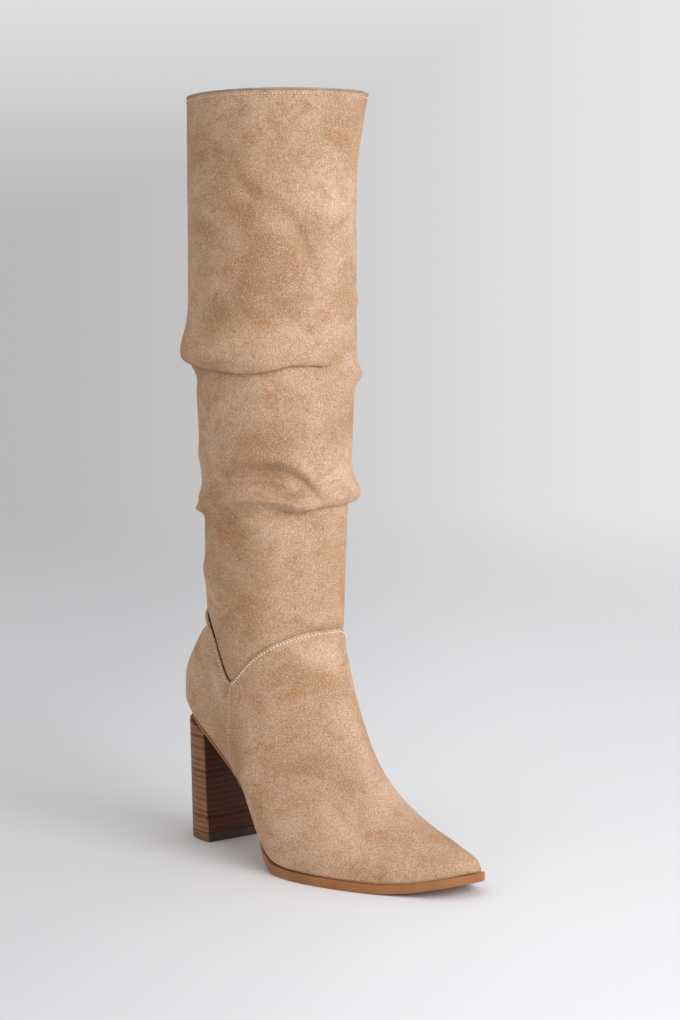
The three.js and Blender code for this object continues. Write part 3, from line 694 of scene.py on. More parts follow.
def stitch_row(level, place, sizes, raised=0.0):
    """One row of stitches along a path of levels and places, lying on suede that is raised itself."""
    points, _ = surface(level, place)
    side, _ = surface(level, place + NEARBY)
    above, _ = surface(level + NEARBY, place)
    normal = unit(np.cross(side - points, above - points))
    at = walk(points, sizes.stitch_pitch / MM)
    middle = read_path(points, at)
    along = read_path(np.gradient(points, axis=0), at)
    outward = unit(read_path(normal, at))
    half = (sizes.stitch_length / MM / 2, sizes.thread / MM / 2, sizes.thread / MM / 2)
    return beads(middle + outward * (STITCH_LIFT + raised), along, outward, half, 0.55)


# ---------------------------------------------------------------- materials

MIX_FACTOR, MIX_A, MIX_B, MIX_RESULT = 0, 6, 7, 2  # the numbers of a Mix node's colour sockets


def linear(hex_colour):
    """An sRGB hex colour as linear red, green, blue and alpha."""
    value = hex_colour.lstrip("#")
    channels = [int(value[i : i + 2], 16) / 255 for i in (0, 2, 4)]
    return tuple(c / 12.92 if c <= 0.04045 else ((c + 0.055) / 1.055) ** 2.4 for c in channels) + (1.0,)


def grey(value):
    """A linear grey, from 0 for black to 1 for white."""
    return (value, value, value, 1.0)


def per_metre(millimetres):
    """The scale of a pattern whose features have a real size."""
    return 1000.0 / millimetres


def node(tree, kind, inputs=None, output=0, stops=(), **settings):
    """Adds one node with its settings and links, and returns one of its outputs, if it has any.

    Inputs maps a socket's name or number to a value, or to another node's output. Stops are the positions
    and colours of a colour ramp.
    """
    made = tree.nodes.new(kind)
    for key, value in settings.items():
        setattr(made, key, value)
    for key, value in (inputs or {}).items():
        if isinstance(value, bpy.types.NodeSocket):
            tree.links.new(value, made.inputs[key])
        else:
            made.inputs[key].default_value = value
    for _ in stops[2:]:
        made.color_ramp.elements.new(0.5)
    for i, (position, colour) in enumerate(stops):
        made.color_ramp.elements[i].position = position
        made.color_ramp.elements[i].color = colour
    return made.outputs[output] if made.outputs else None


def new_material(name, sockets):
    """A material with only a Principled shader, whose constant values are set on its own sockets."""
    material = bpy.data.materials.new(name)
    material.use_nodes = True
    tree = material.node_tree
    tree.nodes.clear()
    shader = node(tree, "ShaderNodeBsdfPrincipled", sockets)
    node(tree, "ShaderNodeOutputMaterial", {"Surface": shader})
    place = node(tree, "ShaderNodeTexCoord", output="Object")
    return material, tree, shader.node, place


def cover(tree, under, over, level, low, high, most=1.0):
    """Lays one colour over another: none of it where the level is low, and most where it is high."""
    part = node(tree, "ShaderNodeValToRGB", {"Fac": level}, stops=[(low, grey(0.0)), (high, grey(most))])
    inputs = {MIX_FACTOR: part, MIX_A: under, MIX_B: over}
    return node(tree, "ShaderNodeMix", inputs, MIX_RESULT, data_type="RGBA")


def relief(tree, shader, height, depth_mm, strength):
    """Gives the shader a relief of a real depth, on top of the one that it has."""
    inputs = {"Height": height, "Distance": depth_mm * MM, "Strength": strength}
    for link in shader.inputs["Normal"].links:
        inputs["Normal"] = link.from_socket
    tree.links.new(node(tree, "ShaderNodeBump", inputs), shader.inputs["Normal"])


def microsuede(colours):
    """Microsuede: a polyester nap, brushed by hand.

    The eye sees cloudy patches where the nap lies another way, lighter and pinker or darker and more
    orange, over a fine speckle, with no gloss and a soft sheen at grazing angles.
    """
    material, tree, shader, place = new_material("microsuede", {
        "Roughness": 0.95, "Specular IOR Level": 0.08,
        "Sheen Weight": 0.1, "Sheen Roughness": 0.4, "Sheen Tint": linear("#f3dcc6"),
    })
    clouds = node(tree, "ShaderNodeTexNoise", {
        "Vector": place, "Scale": per_metre(48), "Detail": 3.0, "Roughness": 0.55, "Distortion": 0.6,
    })
    colour = node(tree, "ShaderNodeValToRGB", {"Fac": clouds}, stops=[
        (0.34, linear(colours.suede_dark)), (0.5, linear(colours.suede)), (0.66, linear(colours.suede_light)),
    ])
    blush = node(tree, "ShaderNodeTexNoise", {"Vector": place, "Scale": per_metre(31), "Distortion": 0.4})
    colour = cover(tree, colour, linear(colours.suede_blush), blush, 0.5, 0.7, 0.5)
    flat = node(tree, "ShaderNodeMapping", {"Vector": place, "Scale": (1.0, 1.0, 1.5)})
    brushed = node(tree, "ShaderNodeTexNoise", {
        "Vector": flat, "Scale": per_metre(15), "Detail": 3.0, "Roughness": 0.62, "Distortion": 0.8,
    })
    colour = cover(tree, colour, linear(colours.suede_brushed), brushed, 0.5, 0.72, 0.75)
    # The real nap is under 0.3 mm; it is drawn at 0.6 to 0.9 mm so that it shows.
    grain = node(tree, "ShaderNodeTexNoise", {"Vector": place, "Scale": per_metre(0.62), "Detail": 0.0})
    speckle = node(tree, "ShaderNodeValToRGB", {"Fac": grain}, stops=[
        (0.3, (0.66, 0.63, 0.6, 1)), (0.5, grey(1.0)), (0.7, (1.3, 1.31, 1.32, 1)),
    ])
    colour = node(tree, "ShaderNodeMix", {
        MIX_FACTOR: 0.85, MIX_A: colour, MIX_B: speckle,
    }, MIX_RESULT, data_type="RGBA", blend_type="MULTIPLY")
    tips = node(tree, "ShaderNodeTexNoise", {"Vector": place, "Scale": per_metre(0.9), "Detail": 1.0})
    colour = cover(tree, colour, linear(colours.suede_tips), tips, 0.58, 0.7, 0.45)
    tree.links.new(colour, shader.inputs["Base Color"])
    relief(tree, shader, grain, 0.1, 0.4)
    waves = node(tree, "ShaderNodeTexNoise", {"Vector": place, "Scale": per_metre(7)})
    relief(tree, shader, waves, 0.4, 0.5)
    return material


def plain_material(name, colour, dark, size_mm, depth_mm, sockets):
    """A surface of one colour, with a fine texture of real size and a slight clouding six times as wide."""
    material, tree, shader, place = new_material(name, sockets)
    clouds = node(tree, "ShaderNodeTexNoise", {
        "Vector": place, "Scale": per_metre(size_mm * 6), "Detail": 3.0,
    })
    tint = cover(tree, linear(colour), linear(dark), clouds, 0.35, 0.7)
    tree.links.new(tint, shader.inputs["Base Color"])
    texture = node(tree, "ShaderNodeTexNoise", {
        "Vector": place, "Scale": per_metre(size_mm), "Detail": 3.0, "Roughness": 0.6,
    })
    relief(tree, shader, texture, depth_mm, 0.6)
    return material


def stacked_leather(name, colours, layer_mm, painted_shade):
    """Stacked leather: layers of sole leather glued and sanded, then stained and waxed.

    The eye sees level stripes of uneven brown, a thin paler line where two layers meet, a fine grain
    along them, and a low satin gloss. A painted shade multiplies all of it: white on the sides and back,
    and dark on the breast, for the shadow that lies on it under the arch.
    """
    material, tree, shader, place = new_material(name, {"Roughness": 0.5, "Specular IOR Level": 0.25})
    height = node(tree, "ShaderNodeSeparateXYZ", {"Vector": place}, "Z")
    tall = node(tree, "ShaderNodeMapping", {"Vector": place, "Scale": (1.0, 1.0, 0.4)})
    wobble = node(tree, "ShaderNodeTexNoise", {"Vector": tall, "Scale": per_metre(30)})
    drift = node(tree, "ShaderNodeMath", {0: wobble, 1: 1.6 * MM, 2: height}, operation="MULTIPLY_ADD")
    layer = node(tree, "ShaderNodeMath", {0: drift, 1: per_metre(layer_mm)}, operation="MULTIPLY")
    part = node(tree, "ShaderNodeMath", {0: layer}, operation="FRACT")
    number = node(tree, "ShaderNodeMath", {0: layer}, operation="FLOOR")
    each = node(tree, "ShaderNodeTexWhiteNoise", {"W": number}, "Value", noise_dimensions="1D")
    tone = node(tree, "ShaderNodeValToRGB", {"Fac": each}, stops=[
        (0.0, linear(colours.heel_dark)), (0.5, linear(colours.heel)), (1.0, linear(colours.heel_light)),
    ])
    long = node(tree, "ShaderNodeMapping", {"Vector": place, "Scale": (0.12, 0.12, 2.2)})
    grain = node(tree, "ShaderNodeTexNoise", {
        "Vector": long, "Scale": per_metre(2.2), "Detail": 3.0, "Roughness": 0.65,
    })
    streaks = node(tree, "ShaderNodeValToRGB", {"Fac": grain}, stops=[
        (0.3, (0.7, 0.66, 0.62, 1)), (0.55, grey(1.0)), (0.75, (1.3, 1.25, 1.2, 1)),
    ])
    toned = node(tree, "ShaderNodeMix", {
        MIX_FACTOR: 0.8, MIX_A: tone, MIX_B: streaks,
    }, MIX_RESULT, data_type="RGBA", blend_type="MULTIPLY")
    line = node(tree, "ShaderNodeValToRGB", {"Fac": part}, stops=[
        (0.0, grey(0.9)), (0.12, grey(0.6)), (0.3, grey(0.0)), (0.9, grey(0.0)), (1.0, grey(0.9)),
    ])
    lined = node(tree, "ShaderNodeMix", {
        MIX_FACTOR: line, MIX_A: toned, MIX_B: linear(colours.heel_line),
    }, MIX_RESULT, data_type="RGBA")
    # Painted shade: the colour is multiplied down where the breast lies in shadow under the arch.
    shaded_colour = node(tree, "ShaderNodeMix", {
        MIX_FACTOR: 1.0, MIX_A: lined, MIX_B: painted_shade,
    }, MIX_RESULT, data_type="RGBA", blend_type="MULTIPLY")
    tree.links.new(shaded_colour, shader.inputs["Base Color"])
    relief(tree, shader, grain, 0.1, 0.5)
    return material


def woven_tape(colours):
    """Polyester zip tape: a matt twill, whose slanting ribs the eye sees about 2 mm apart, with painted shade
    in the grooves between them.
    """
    material, tree, shader, place = new_material("woven_zip_tape", {"Roughness": 0.9, "Sheen Weight": 0.2})
    # A diagonal wave repeats after a fifth of pi of its scaled length along each axis: 2.8 mm up the tape.
    ribs = node(tree, "ShaderNodeTexWave", {
        "Vector": place, "Scale": per_metre(2.8) * math.pi / 5, "Distortion": 0.6, "Detail": 1.0,
        "Detail Scale": 2.0,
    }, "Fac", wave_type="BANDS", bands_direction="DIAGONAL")
    # Painted shade: the colour darkens between the ribs, where the grooves lie in shade.
    tint = node(tree, "ShaderNodeMix", {
        MIX_FACTOR: ribs, MIX_A: linear(colours.tape_groove_shade), MIX_B: linear(colours.tape),
    }, MIX_RESULT, data_type="RGBA")
    tree.links.new(tint, shader.inputs["Base Color"])
    relief(tree, shader, ribs, 0.2, 0.6)
    return material


BREAST_PAINTED_SHADE = (0.32, 0.22, 0.16, 1.0)  # painted shade: what the shadow under the arch leaves of the colour on the heel's breast
MATERIALS = {}


def finishes(context):
    """All the boot's materials, made once."""
    if MATERIALS:
        return MATERIALS
    colours = context.scene.boot_colours
    layer = context.scene.boot_sizes.heel_layer / MM
    # Each row: the material's name, colour and darker colour, its texture's size and depth in millimetres,
    # and its shader's constant values.
    plain = {
        # Brushed polyester: matt, with a short nap that clouds it a little.
        "lining": ("brushed_lining", "#cbb79c", "#b9a488", 1.2, 0.1,
                   {"Roughness": 0.95, "Sheen Weight": 0.2}),
        # Coated cloth, folded over the edge: smoother and greyer than the suede, with next to no gloss.
        "binding": ("coated_edge_binding", colours.binding, "#8b7a6c", 1.5, 0.05, {"Roughness": 0.8}),
        # Twisted polyester thread: paler than what it sews, with a faint gloss.
        "pale_thread": ("pale_polyester_thread", colours.pale_thread, "#dccab4", 0.8, 0.05,
                        {"Roughness": 0.6}),
        "thread": ("polyester_thread", colours.thread, "#c4a486", 0.8, 0.05, {"Roughness": 0.6}),
        # Moulded thermoplastic rubber, tinted as leather: an even tan with a satin gloss.
        "sole": ("moulded_tan_outsole", colours.sole, colours.sole_dark, 2.5, 0.06,
                 {"Roughness": 0.5, "Specular IOR Level": 0.25}),
        # Moulded hard rubber: brown and nearly matt, with a darker copy on the breast that is painted shade,
        # for the shadow under the arch.
        "rubber": ("moulded_heel_rubber", "#7a5538", "#6b482e", 1.4, 0.1, {"Roughness": 0.6}),
        "rubber_painted_shade": ("moulded_heel_rubber_dark", "#452c1a", "#382414", 1.4, 0.1, {"Roughness": 0.6}),
        # Nylon monofilament, wound into turns: smooth and a little glossy.
        "coil": ("nylon_coil", colours.coil, "#a98a6c", 1.0, 0.02, {"Roughness": 0.45}),
        # Nickel plate, tumbled bright: clear reflections with a slight haze.
        "nickel": ("polished_nickel", "#c4c0ba", "#b4b0aa", 2.0, 0.004, {"Roughness": 0.16, "Metallic": 1.0}),
        # Coated cloth over foam: smooth and matt.
        "sock": ("insole_sock", "#cbb79c", "#bca68a", 1.6, 0.08, {"Roughness": 0.85}),
    }
    for key, row in plain.items():
        MATERIALS[key] = plain_material(*row)
    MATERIALS["suede"] = microsuede(colours)
    MATERIALS["stacked"] = stacked_leather("stacked_leather", colours, layer, grey(1.0))
    # The breast's copy carries painted shade, for the shadow under the arch.
    MATERIALS["breast"] = stacked_leather("stacked_leather_dark", colours, layer, BREAST_PAINTED_SHADE)
    MATERIALS["tape"] = woven_tape(colours)
    return MATERIALS


# ---------------------------------------------------------------- pieces of the upper

SLOT_HALF = SLOT_WIDTH / 2
SLOT_CLOSED = 0.05


def slot_half(level):
    """Half the width of the slot between the panels, which closes nearly to a point at the sole."""
    return SLOT_CLOSED + (SLOT_HALF - SLOT_CLOSED) * smoothstep(level, 0.07, 0.22)


def solve_place(level_of, left, right, across, rounds=5):
    """Levels and places of a panel's grid whose side edges lean.

    Each place is the mix of both edges' places at its own level, found in a few rounds.
    """
    place = left(1.0) + (right(1.0) - left(1.0)) * across
    for _ in range(rounds):
        level = level_of(place)
        place = left(level) + (right(level) - left(level)) * across
    return level_of(place), place


TURN_UNDER = (1.0, 2.2)  # a panel's lower edge turns in by this much, over this height


def foot_panel(left, right, rows, columns, raise_edge, edge_relief):
    """A panel of the foot from the feather line to the V seam: the points of its outer face.

    It turns under at the feather line, and stands a little proud along the seam, by raise_edge, and by
    edge_relief where its other edges and creases are.
    """
    up = np.linspace(0, 1, rows)[:, None]
    across = np.linspace(0, 1, columns)[None, :]
    level, place = solve_place(lambda at: up * seam_level(at), left, right, across)
    point, normal = surface(level, place)
    above = level * around_boot(FEATHER_PACE, place)
    turn_under = TURN_UNDER[0] * np.clip(1 - above / TURN_UNDER[1], 0, 1) ** 2
    under_seam = (seam_level(place) - level) * around_boot(SEAM_PACE, place)
    proud = raise_edge * (1 - smoothstep(under_seam, 1.5, 9.0)) + edge_relief(level, place)
    return point + normal * (proud - turn_under)[..., None]


LAP = 0.55  # the vamp's edge stands this far over the counter's
STIFFENER = {"from_seam": 11.0, "wide": 1.6, "deep": 0.5}  # its end shows through the vamp as a trough


class BOOT_OT_vamp(bpy.types.Operator):
    """Makes the vamp: the front panel of the foot, from the outer side seam round the toe to the zip"""

    bl_idname = "boot.vamp"
    bl_label = "Vamp"

    def execute(self, context):
        def edge_relief(level, place):
            # The vamp's edge lies on the counter's, and the stiffener's end shows through further forward.
            from_seam = (place - side_place(level)) * LAST.side_length(level, False)
            lap = LAP * (1 - smoothstep(from_seam, 0.8, 4.0))
            trough = np.exp(-(((from_seam - STIFFENER["from_seam"]) / STIFFENER["wide"]) ** 2))
            return lap - STIFFENER["deep"] * trough * (1 - smoothstep(level, 0.2, 0.5))

        grid = foot_panel(
            side_place, lambda level: zip_place(level, -slot_half(level)), 90, 250, 0.35, edge_relief
        )
        piece = make_piece("vamp", *sheet(grid, PANEL_THICKNESS), [finishes(context)["suede"]])
        settle(piece, "boot", "suede", "upper")
        return {"FINISHED"}


class BOOT_OT_counter(bpy.types.Operator):
    """Makes the counter: the back panel of the foot, from the zip round the heel to the outer side seam"""

    bl_idname = "boot.counter"
    bl_label = "Counter"

    def execute(self, context):
        grid = foot_panel(
            lambda level: zip_place(level, slot_half(level)), lambda level: 2.0 + side_place(level, 1.2),
            80, 130, 0.6, lambda level, place: 0.0,
        )
        piece = make_piece("counter", *sheet(grid, PANEL_THICKNESS), [finishes(context)["suede"]])
        settle(piece, "boot", "suede")
        return {"FINISHED"}


# The leg's rows, as (from height, to height, count): closer together where it folds.
LEG_ROWS = [(190, 216, 14), (216, 246, 42), (246, 302, 26), (302, 332, 40), (332, COLLAR_Z, 54)]
LOWER_ROWS = 30  # from the seam up to the first of these
LEG_COLUMNS = 176


def leg_rows():
    """The heights of the leg's rows above its lowest part."""
    spans = [np.linspace(low, high, count, endpoint=False) for low, high, count in LEG_ROWS]
    return np.append(np.concatenate(spans), COLLAR_Z)


class BOOT_OT_leg(bpy.types.Operator):
    """Makes the leg: one slouched sheet of suede from the zip round to the zip, tucked under the V seam"""

    bl_idname = "boot.leg"
    bl_label = "Leg"

    def execute(self, context):
        heights = leg_rows()
        rows = LOWER_ROWS + len(heights)
        low = np.linspace(0, 1, LOWER_ROWS, endpoint=False)[:, None]
        high = np.broadcast_to(level_of_height(heights)[:, None], (len(heights), LEG_COLUMNS))

        def level_of(place):
            start = below_seam(np.broadcast_to(place, (rows, LEG_COLUMNS))[:LOWER_ROWS], LEG_TUCK)
            return np.concatenate([start + (level_of_height(heights[0]) - start) * low, high])

        level, place = solve_place(
            level_of, lambda level: zip_place(level, SLOT_HALF),
            lambda level: zip_place(level, -SLOT_HALF) + 2.0, np.linspace(0, 1, LEG_COLUMNS)[None, :],
        )
        point, normal = surface(level, place)
        above = (level - seam_level(place)) * around_boot(SEAM_PACE, place)
        dip = LEG_DIP * (1 - smoothstep(above, -0.5, 7.0))
        point = point - normal * dip[..., None]
        piece = make_piece("leg", *sheet(point, PANEL_THICKNESS), [finishes(context)["suede"]])
        settle(piece, "boot", "suede", "shaft")
        return {"FINISHED"}


class BOOT_OT_lining(bpy.types.Operator):
    """Makes the lining: a thin cloth inside foot and leg, open along the zip"""

    bl_idname = "boot.lining"
    bl_label = "Lining"

    def execute(self, context):
        foot = np.linspace(0.06, 1, 40, endpoint=False)
        level = np.concatenate([foot, np.linspace(1, COLLAR_LEVEL - 0.012, 90)])[:, None]
        across = np.linspace(0, 1, 110)[None, :]
        left = zip_place(level, SLOT_HALF + 1.5)
        right = zip_place(level, -SLOT_HALF - 1.5) + 2.0
        point, normal = surface(level, left + (right - left) * across, inner=True)
        near_collar = smoothstep(point[..., 2], COLLAR_Z - 30, COLLAR_Z - 8)
        depth = LINING_DEPTH + (PANEL_THICKNESS + 0.1 - LINING_DEPTH) * near_collar
        cloth = sheet(point - normal * depth[..., None], CLOTH_THICKNESS, edge_steps=2)
        piece = make_piece("lining", *cloth, [finishes(context)["lining"]])
        settle(piece, "boot", "insole")
        return {"FINISHED"}


class BOOT_OT_binding(bpy.types.Operator):
    """Makes the binding: a narrow folded edge over the collar"""

    bl_idname = "boot.binding"
    bl_label = "Collar binding"

    def execute(self, context):
        steps = 240
        left = zip_place(COLLAR_LEVEL, SLOT_HALF)
        right = zip_place(COLLAR_LEVEL, -SLOT_HALF) + 2.0
        place = np.linspace(left, right, steps)
        path, normal = surface(np.full(steps, COLLAR_LEVEL), place)
        normal[:, 2] = 0
        normal = unit(normal)
        turns = np.linspace(0, 2 * math.pi, 14, endpoint=False)
        # A rounded bar over the edge of suede and lining, whose half thickness and half height these are.
        half_thick, half_high, squareness = 1.15, 0.8, 0.7
        out = -0.8 + half_thick * np.sign(np.cos(turns)) * np.abs(np.cos(turns)) ** squareness
        up = -0.15 + half_high * np.sign(np.sin(turns)) * np.abs(np.sin(turns)) ** squareness
        ring = path[:, None, :] + normal[:, None, :] * out[None, :, None]
        ring[..., 2] += up[None, :]
        centre_first = ring[:1].mean(axis=1, keepdims=True).repeat(len(turns), 1)
        centre_last = ring[-1:].mean(axis=1, keepdims=True).repeat(len(turns), 1)
        grid = np.concatenate([centre_first, ring, centre_last])
        faces = grid_faces(len(grid), len(turns), wrap=True)
        piece = make_piece("collar_binding", grid, faces, [finishes(context)["binding"]], weld=True)
        settle(piece, "boot", "suede")
        return {"FINISHED"}


def bar_tack(side):
    """Five threads laid side by side across one edge of the zip, where the V seam meets it."""
    corner = seam_level(zip_place(0.75)) + np.linspace(-1.5, 1.5, 5) / LEVEL_HEIGHT
    centre, normal = surface(corner, zip_place(corner, side * (SLOT_HALF + 0.5)))
    beyond, _ = surface(corner, zip_place(corner, side * (SLOT_HALF + 1.5)))
    return beads(centre + normal * 0.45, beyond - centre, normal, (1.5, 0.42, 0.42), 0.5)


class BOOT_OT_stitches(bpy.types.Operator):
    """Makes the stitch rows of the V seam, side seam, collar and zip, and the zip's two bar tacks"""

    bl_idname = "boot.stitches"
    bl_label = "Stitch rows"

    def execute(self, context):
        sizes = context.scene.boot_sizes
        margin = sizes.stitch_margin / MM
        materials = finishes(context)
        steps = 400

        def seam_row(left, right, lift):
            place = np.linspace(left, right, steps)
            return stitch_row(below_seam(place, margin), place, sizes, raised=lift)

        v_side = side_place(seam_level(side_place(0.75)))
        rows = {
            "vamp_stitches": [seam_row(v_side + 0.012, zip_place(0.75, -SLOT_HALF - 3), 0.32)],
            "counter_stitches": [seam_row(zip_place(0.75, SLOT_HALF + 3), 2 + v_side - 0.012, 0.8)],
        }
        level = np.linspace(0.03, seam_level(v_side) - 0.01, steps)
        rows["side_stitches"] = [stitch_row(level, side_place(level, 1.3), sizes, raised=0.4)]
        collar = COLLAR_LEVEL - 2.9 / LEVEL_HEIGHT
        first, last = zip_place(collar, SLOT_HALF + 2.6), zip_place(collar, -SLOT_HALF - 2.6) + 2
        place = np.linspace(first, last, steps)
        rows["collar_stitches"] = [stitch_row(np.full(steps, collar), place, sizes)]
        level = np.linspace(0.03, collar, 900)
        rows["zip_stitches"] = [
            stitch_row(level, zip_place(level, side * (slot_half(level) + 2.3)), sizes, raised=0.1)
            for side in (-1, 1)
        ]
        rows["zip_stitches"] += [bar_tack(side) for side in (-1, 1)]
        for name, parts in rows.items():
            thread = "pale_thread" if name == "vamp_stitches" else "thread"
            piece = make_piece(name, *join_parts(parts), [materials[thread]])
            settle(piece, "boot", "suede")
        return {"FINISHED"}


# ---------------------------------------------------------------- the zip

def zip_path(low_level, high_level, count):
    """The zip's middle line: points, directions along it and across it, and normals."""
    level = np.linspace(low_level, high_level, count)
    point, normal = surface(level, zip_place(level), inner=True)
    along = unit(np.gradient(point, axis=0))
    normal = unit(normal - along * np.sum(normal * along, axis=-1, keepdims=True))
    return point, along, np.cross(normal, along), normal


def zip_low_level():
    """The level at which the zip's middle reaches the slot's lower end."""
    level = np.linspace(0, 1, 400)
    point, _ = LAST.sample(level, zip_place(level))
    return np.interp(SLOT_END_Z, point[:, 2], level)


TAPE_DEPTH = 2.2  # the tape's outer face under the suede's
TAPE_RISE = {"high": 1.3, "wide": 3.4, "least": 0.55}  # and how it rises between the panels' edges
COIL_TURN = (0.98, 0.62, 0.75)  # half length, half width and half height of one turn
COIL_SPREAD = 1.1  # the turns' middles lie this far to each side


class BOOT_OT_zip(bpy.types.Operator):
    """Makes the zip's tape and its coil of small nylon turns"""

    bl_idname = "boot.zip"
    bl_label = "Zip tape and coil"

    def execute(self, context):
        materials = finishes(context)
        sizes = context.scene.boot_sizes
        top = COLLAR_LEVEL - 3.5 / LEVEL_HEIGHT
        sides = np.linspace(-TAPE_WIDTH / 2, TAPE_WIDTH / 2, 15)[None, :]
        level = np.linspace(0.0, top, 330)[:, None]
        part = np.maximum(slot_half(level) / SLOT_HALF, TAPE_RISE["least"])
        rise = TAPE_RISE["high"] * part * np.exp(-((sides / TAPE_RISE["wide"]) ** 4))
        grid, out = surface(level, zip_place(level, -sides), inner=True)
        grid = grid + out * (rise - TAPE_DEPTH)[..., None]
        cloth = sheet(grid[:, ::-1], CLOTH_THICKNESS, edge_steps=2)
        tape = make_piece("zip_tape_woven", *cloth, [materials["tape"]])
        settle(tape, "boot", "zip_tape", "zip_tape")

        point, along, across, normal = zip_path(zip_low_level(), level_of_height(SLIDER_Z + 4), 1200)
        parts = []
        pitch = sizes.coil_pitch / MM
        for side, shift in ((-1, 0.0), (1, 0.5)):
            at = walk(point, pitch)
            at = at + shift * (at[1] - at[0])
            at = at[at < len(point) - 1]
            middle, forward = read_path(point, at), read_path(along, at)
            sideways, outward = read_path(across, at) * side, read_path(normal, at)
            centre = middle + sideways * COIL_SPREAD - outward * 0.2
            lean = sideways + forward * 0.2
            parts.append(beads(centre, lean, outward, COIL_TURN, 0.5))
        coil = make_piece("zip_coil", *join_parts(parts), [materials["coil"]])
        settle(coil, "boot", "zip_coil", "zip_teeth")
        return {"FINISHED"}


METAL_EDGE = 0.3  # width of the bevel on the metal's edges


def softened_copy(node_name, piece_name, material):
    """A copy of a small metal node with its edges rounded by a bevel."""
    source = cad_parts[node_name]
    mesh = source.data.copy()
    shape = bmesh.new()
    shape.from_mesh(mesh)
    bmesh.ops.remove_doubles(shape, verts=shape.verts, dist=0.01 * MM)
    bmesh.ops.dissolve_limit(shape, angle_limit=math.radians(1), verts=shape.verts, edges=shape.edges)
    shape.to_mesh(mesh)
    shape.free()
    mesh.materials.clear()
    mesh.materials.append(material)
    mesh.polygons.foreach_set("use_smooth", np.ones(len(mesh.polygons), dtype=bool))
    piece = add_object(piece_name, mesh)
    bevel = piece.modifiers.new("soft edges", "BEVEL")
    bevel.width = METAL_EDGE * MM
    bevel.segments = 3
    bevel.limit_method = "ANGLE"
    bevel.angle_limit = math.radians(30)
    bevel.harden_normals = True
    return piece


class BOOT_OT_zip_head(bpy.types.Operator):
    """Makes the zip's metal slider and the pull tab that hangs from it"""

    bl_idname = "boot.zip_head"
    bl_label = "Slider and pull"

    def execute(self, context):
        nickel = finishes(context)["nickel"]
        slider = softened_copy("zip_slider", "slider", nickel)
        settle(slider, "boot", "zip_metal", "zip_slider")
        pull = softened_copy("zip_pull", "pull_tab", nickel)
        settle(pull, "pull", "zip_metal", "zip_pull")
        return {"FINISHED"}


# ---------------------------------------------------------------- sole and heel

def feather_outline(count):
    """The feather line in plan as an even closed loop, with its outward normals."""
    loop = even_loop(LAST.points[0][:, :2], count)
    along = unit(np.roll(loop, -1, axis=0) - np.roll(loop, 1, axis=0))
    return loop, np.stack([along[:, 1], -along[:, 0]], axis=-1)


def middle_line(loop, inset):
    """For each point of a loop, the point of the loop's own middle line at its x, kept off both ends."""
    x = np.clip(loop[:, 0], loop[:, 0].min() + inset, loop[:, 0].max() - inset)
    half = len(loop) // 2
    outer, inner = loop[: half + 1], loop[half:][::-1]
    outer, inner = outer[np.argsort(outer[:, 0])], inner[np.argsort(inner[:, 0])]
    y = (np.interp(x, outer[:, 0], outer[:, 1]) + np.interp(x, inner[:, 0], inner[:, 1])) / 2
    return np.stack([x, y], axis=-1)


FLAT_PARTS = (0.0, 0.3, 0.6, 0.85, 1.0)  # from the middle line out
FLAT_INSET = 5.0  # the flat rings end this far inside the edge
SPINE_INSET = 22.0


def plate(grow, under, top, edge, count):
    """A flat unit with the feather line's outline, grown by some millimetres.

    Its rings go from the underside's middle line out over an edge of radius edge, where the inset is
    edge (1 - sin a) and the rise edge (1 - cos a), and back over the top to the middle line.
    """
    loop, outward = feather_outline(count)
    spine = middle_line(loop, SPINE_INSET)
    outline = loop + outward * grow(loop[:, 0])[:, None]
    inner = outline - outward * FLAT_INSET
    flats = [spine + (inner - spine) * part for part in FLAT_PARTS]
    arc = [(edge * (1 - math.sin(a)), edge * (1 - math.cos(a))) for a in np.radians([0, 22, 45, 67, 90])]
    rounds = [(outline - outward * inset, rise) for inset, rise in arc]
    rings = [np.column_stack([plan, under(plan[:, 0])]) for plan in flats]
    rings += [np.column_stack([plan, under(plan[:, 0]) + rise]) for plan, rise in rounds]
    rings += [np.column_stack([plan, top(plan[:, 0]) - rise]) for plan, rise in reversed(rounds)]
    rings += [np.column_stack([plan, top(plan[:, 0])]) for plan in reversed(flats)]
    grid = np.array(rings)
    return grid, grid_faces(len(grid), count, wrap=True)


def forefoot(x):
    """0 at the waist and heel seat and 1 at the forefoot, where the sole is thick and stands out."""
    return smoothstep(x, WAIST_END_X, TREAD_START_X)


class BOOT_OT_sole(bpy.types.Operator):
    """Makes the outsole, and the sock that lies on it inside the boot"""

    bl_idname = "boot.sole"
    bl_label = "Outsole and sock"

    def execute(self, context):
        materials = finishes(context)
        ground = bottom_z(BALL_X) - SOLE_GAP - SOLE_THICKNESS

        def sole_top(x):
            return bottom_z(x) - SOLE_GAP

        def sole_under(x):
            thickness = WAIST_THICKNESS + (SOLE_THICKNESS - WAIST_THICKNESS) * forefoot(x)
            return sole_top(x) - thickness - ground

        def sole_edge(x):
            return WAIST_EDGE + (SOLE_EDGE - WAIST_EDGE) * forefoot(x)

        unit_shape = plate(sole_edge, sole_under, sole_top, SOLE_ROUND, 420)
        piece = make_piece("outsole_unit", *unit_shape, [materials["sole"]], weld=True)
        settle(piece, "boot", "outsole", "outsole")
        sock_shape = plate(
            lambda x: np.full_like(x, -INSOLE_CLEARANCE), lambda x: bottom_z(x) + 0.1,
            lambda x: bottom_z(x) + INSOLE_THICKNESS, SOCK_ROUND, 300,
        )
        piece = make_piece("sock", *sock_shape, [materials["sock"]], weld=True)
        settle(piece, "boot", "insole", "insole")
        return {"FINISHED"}


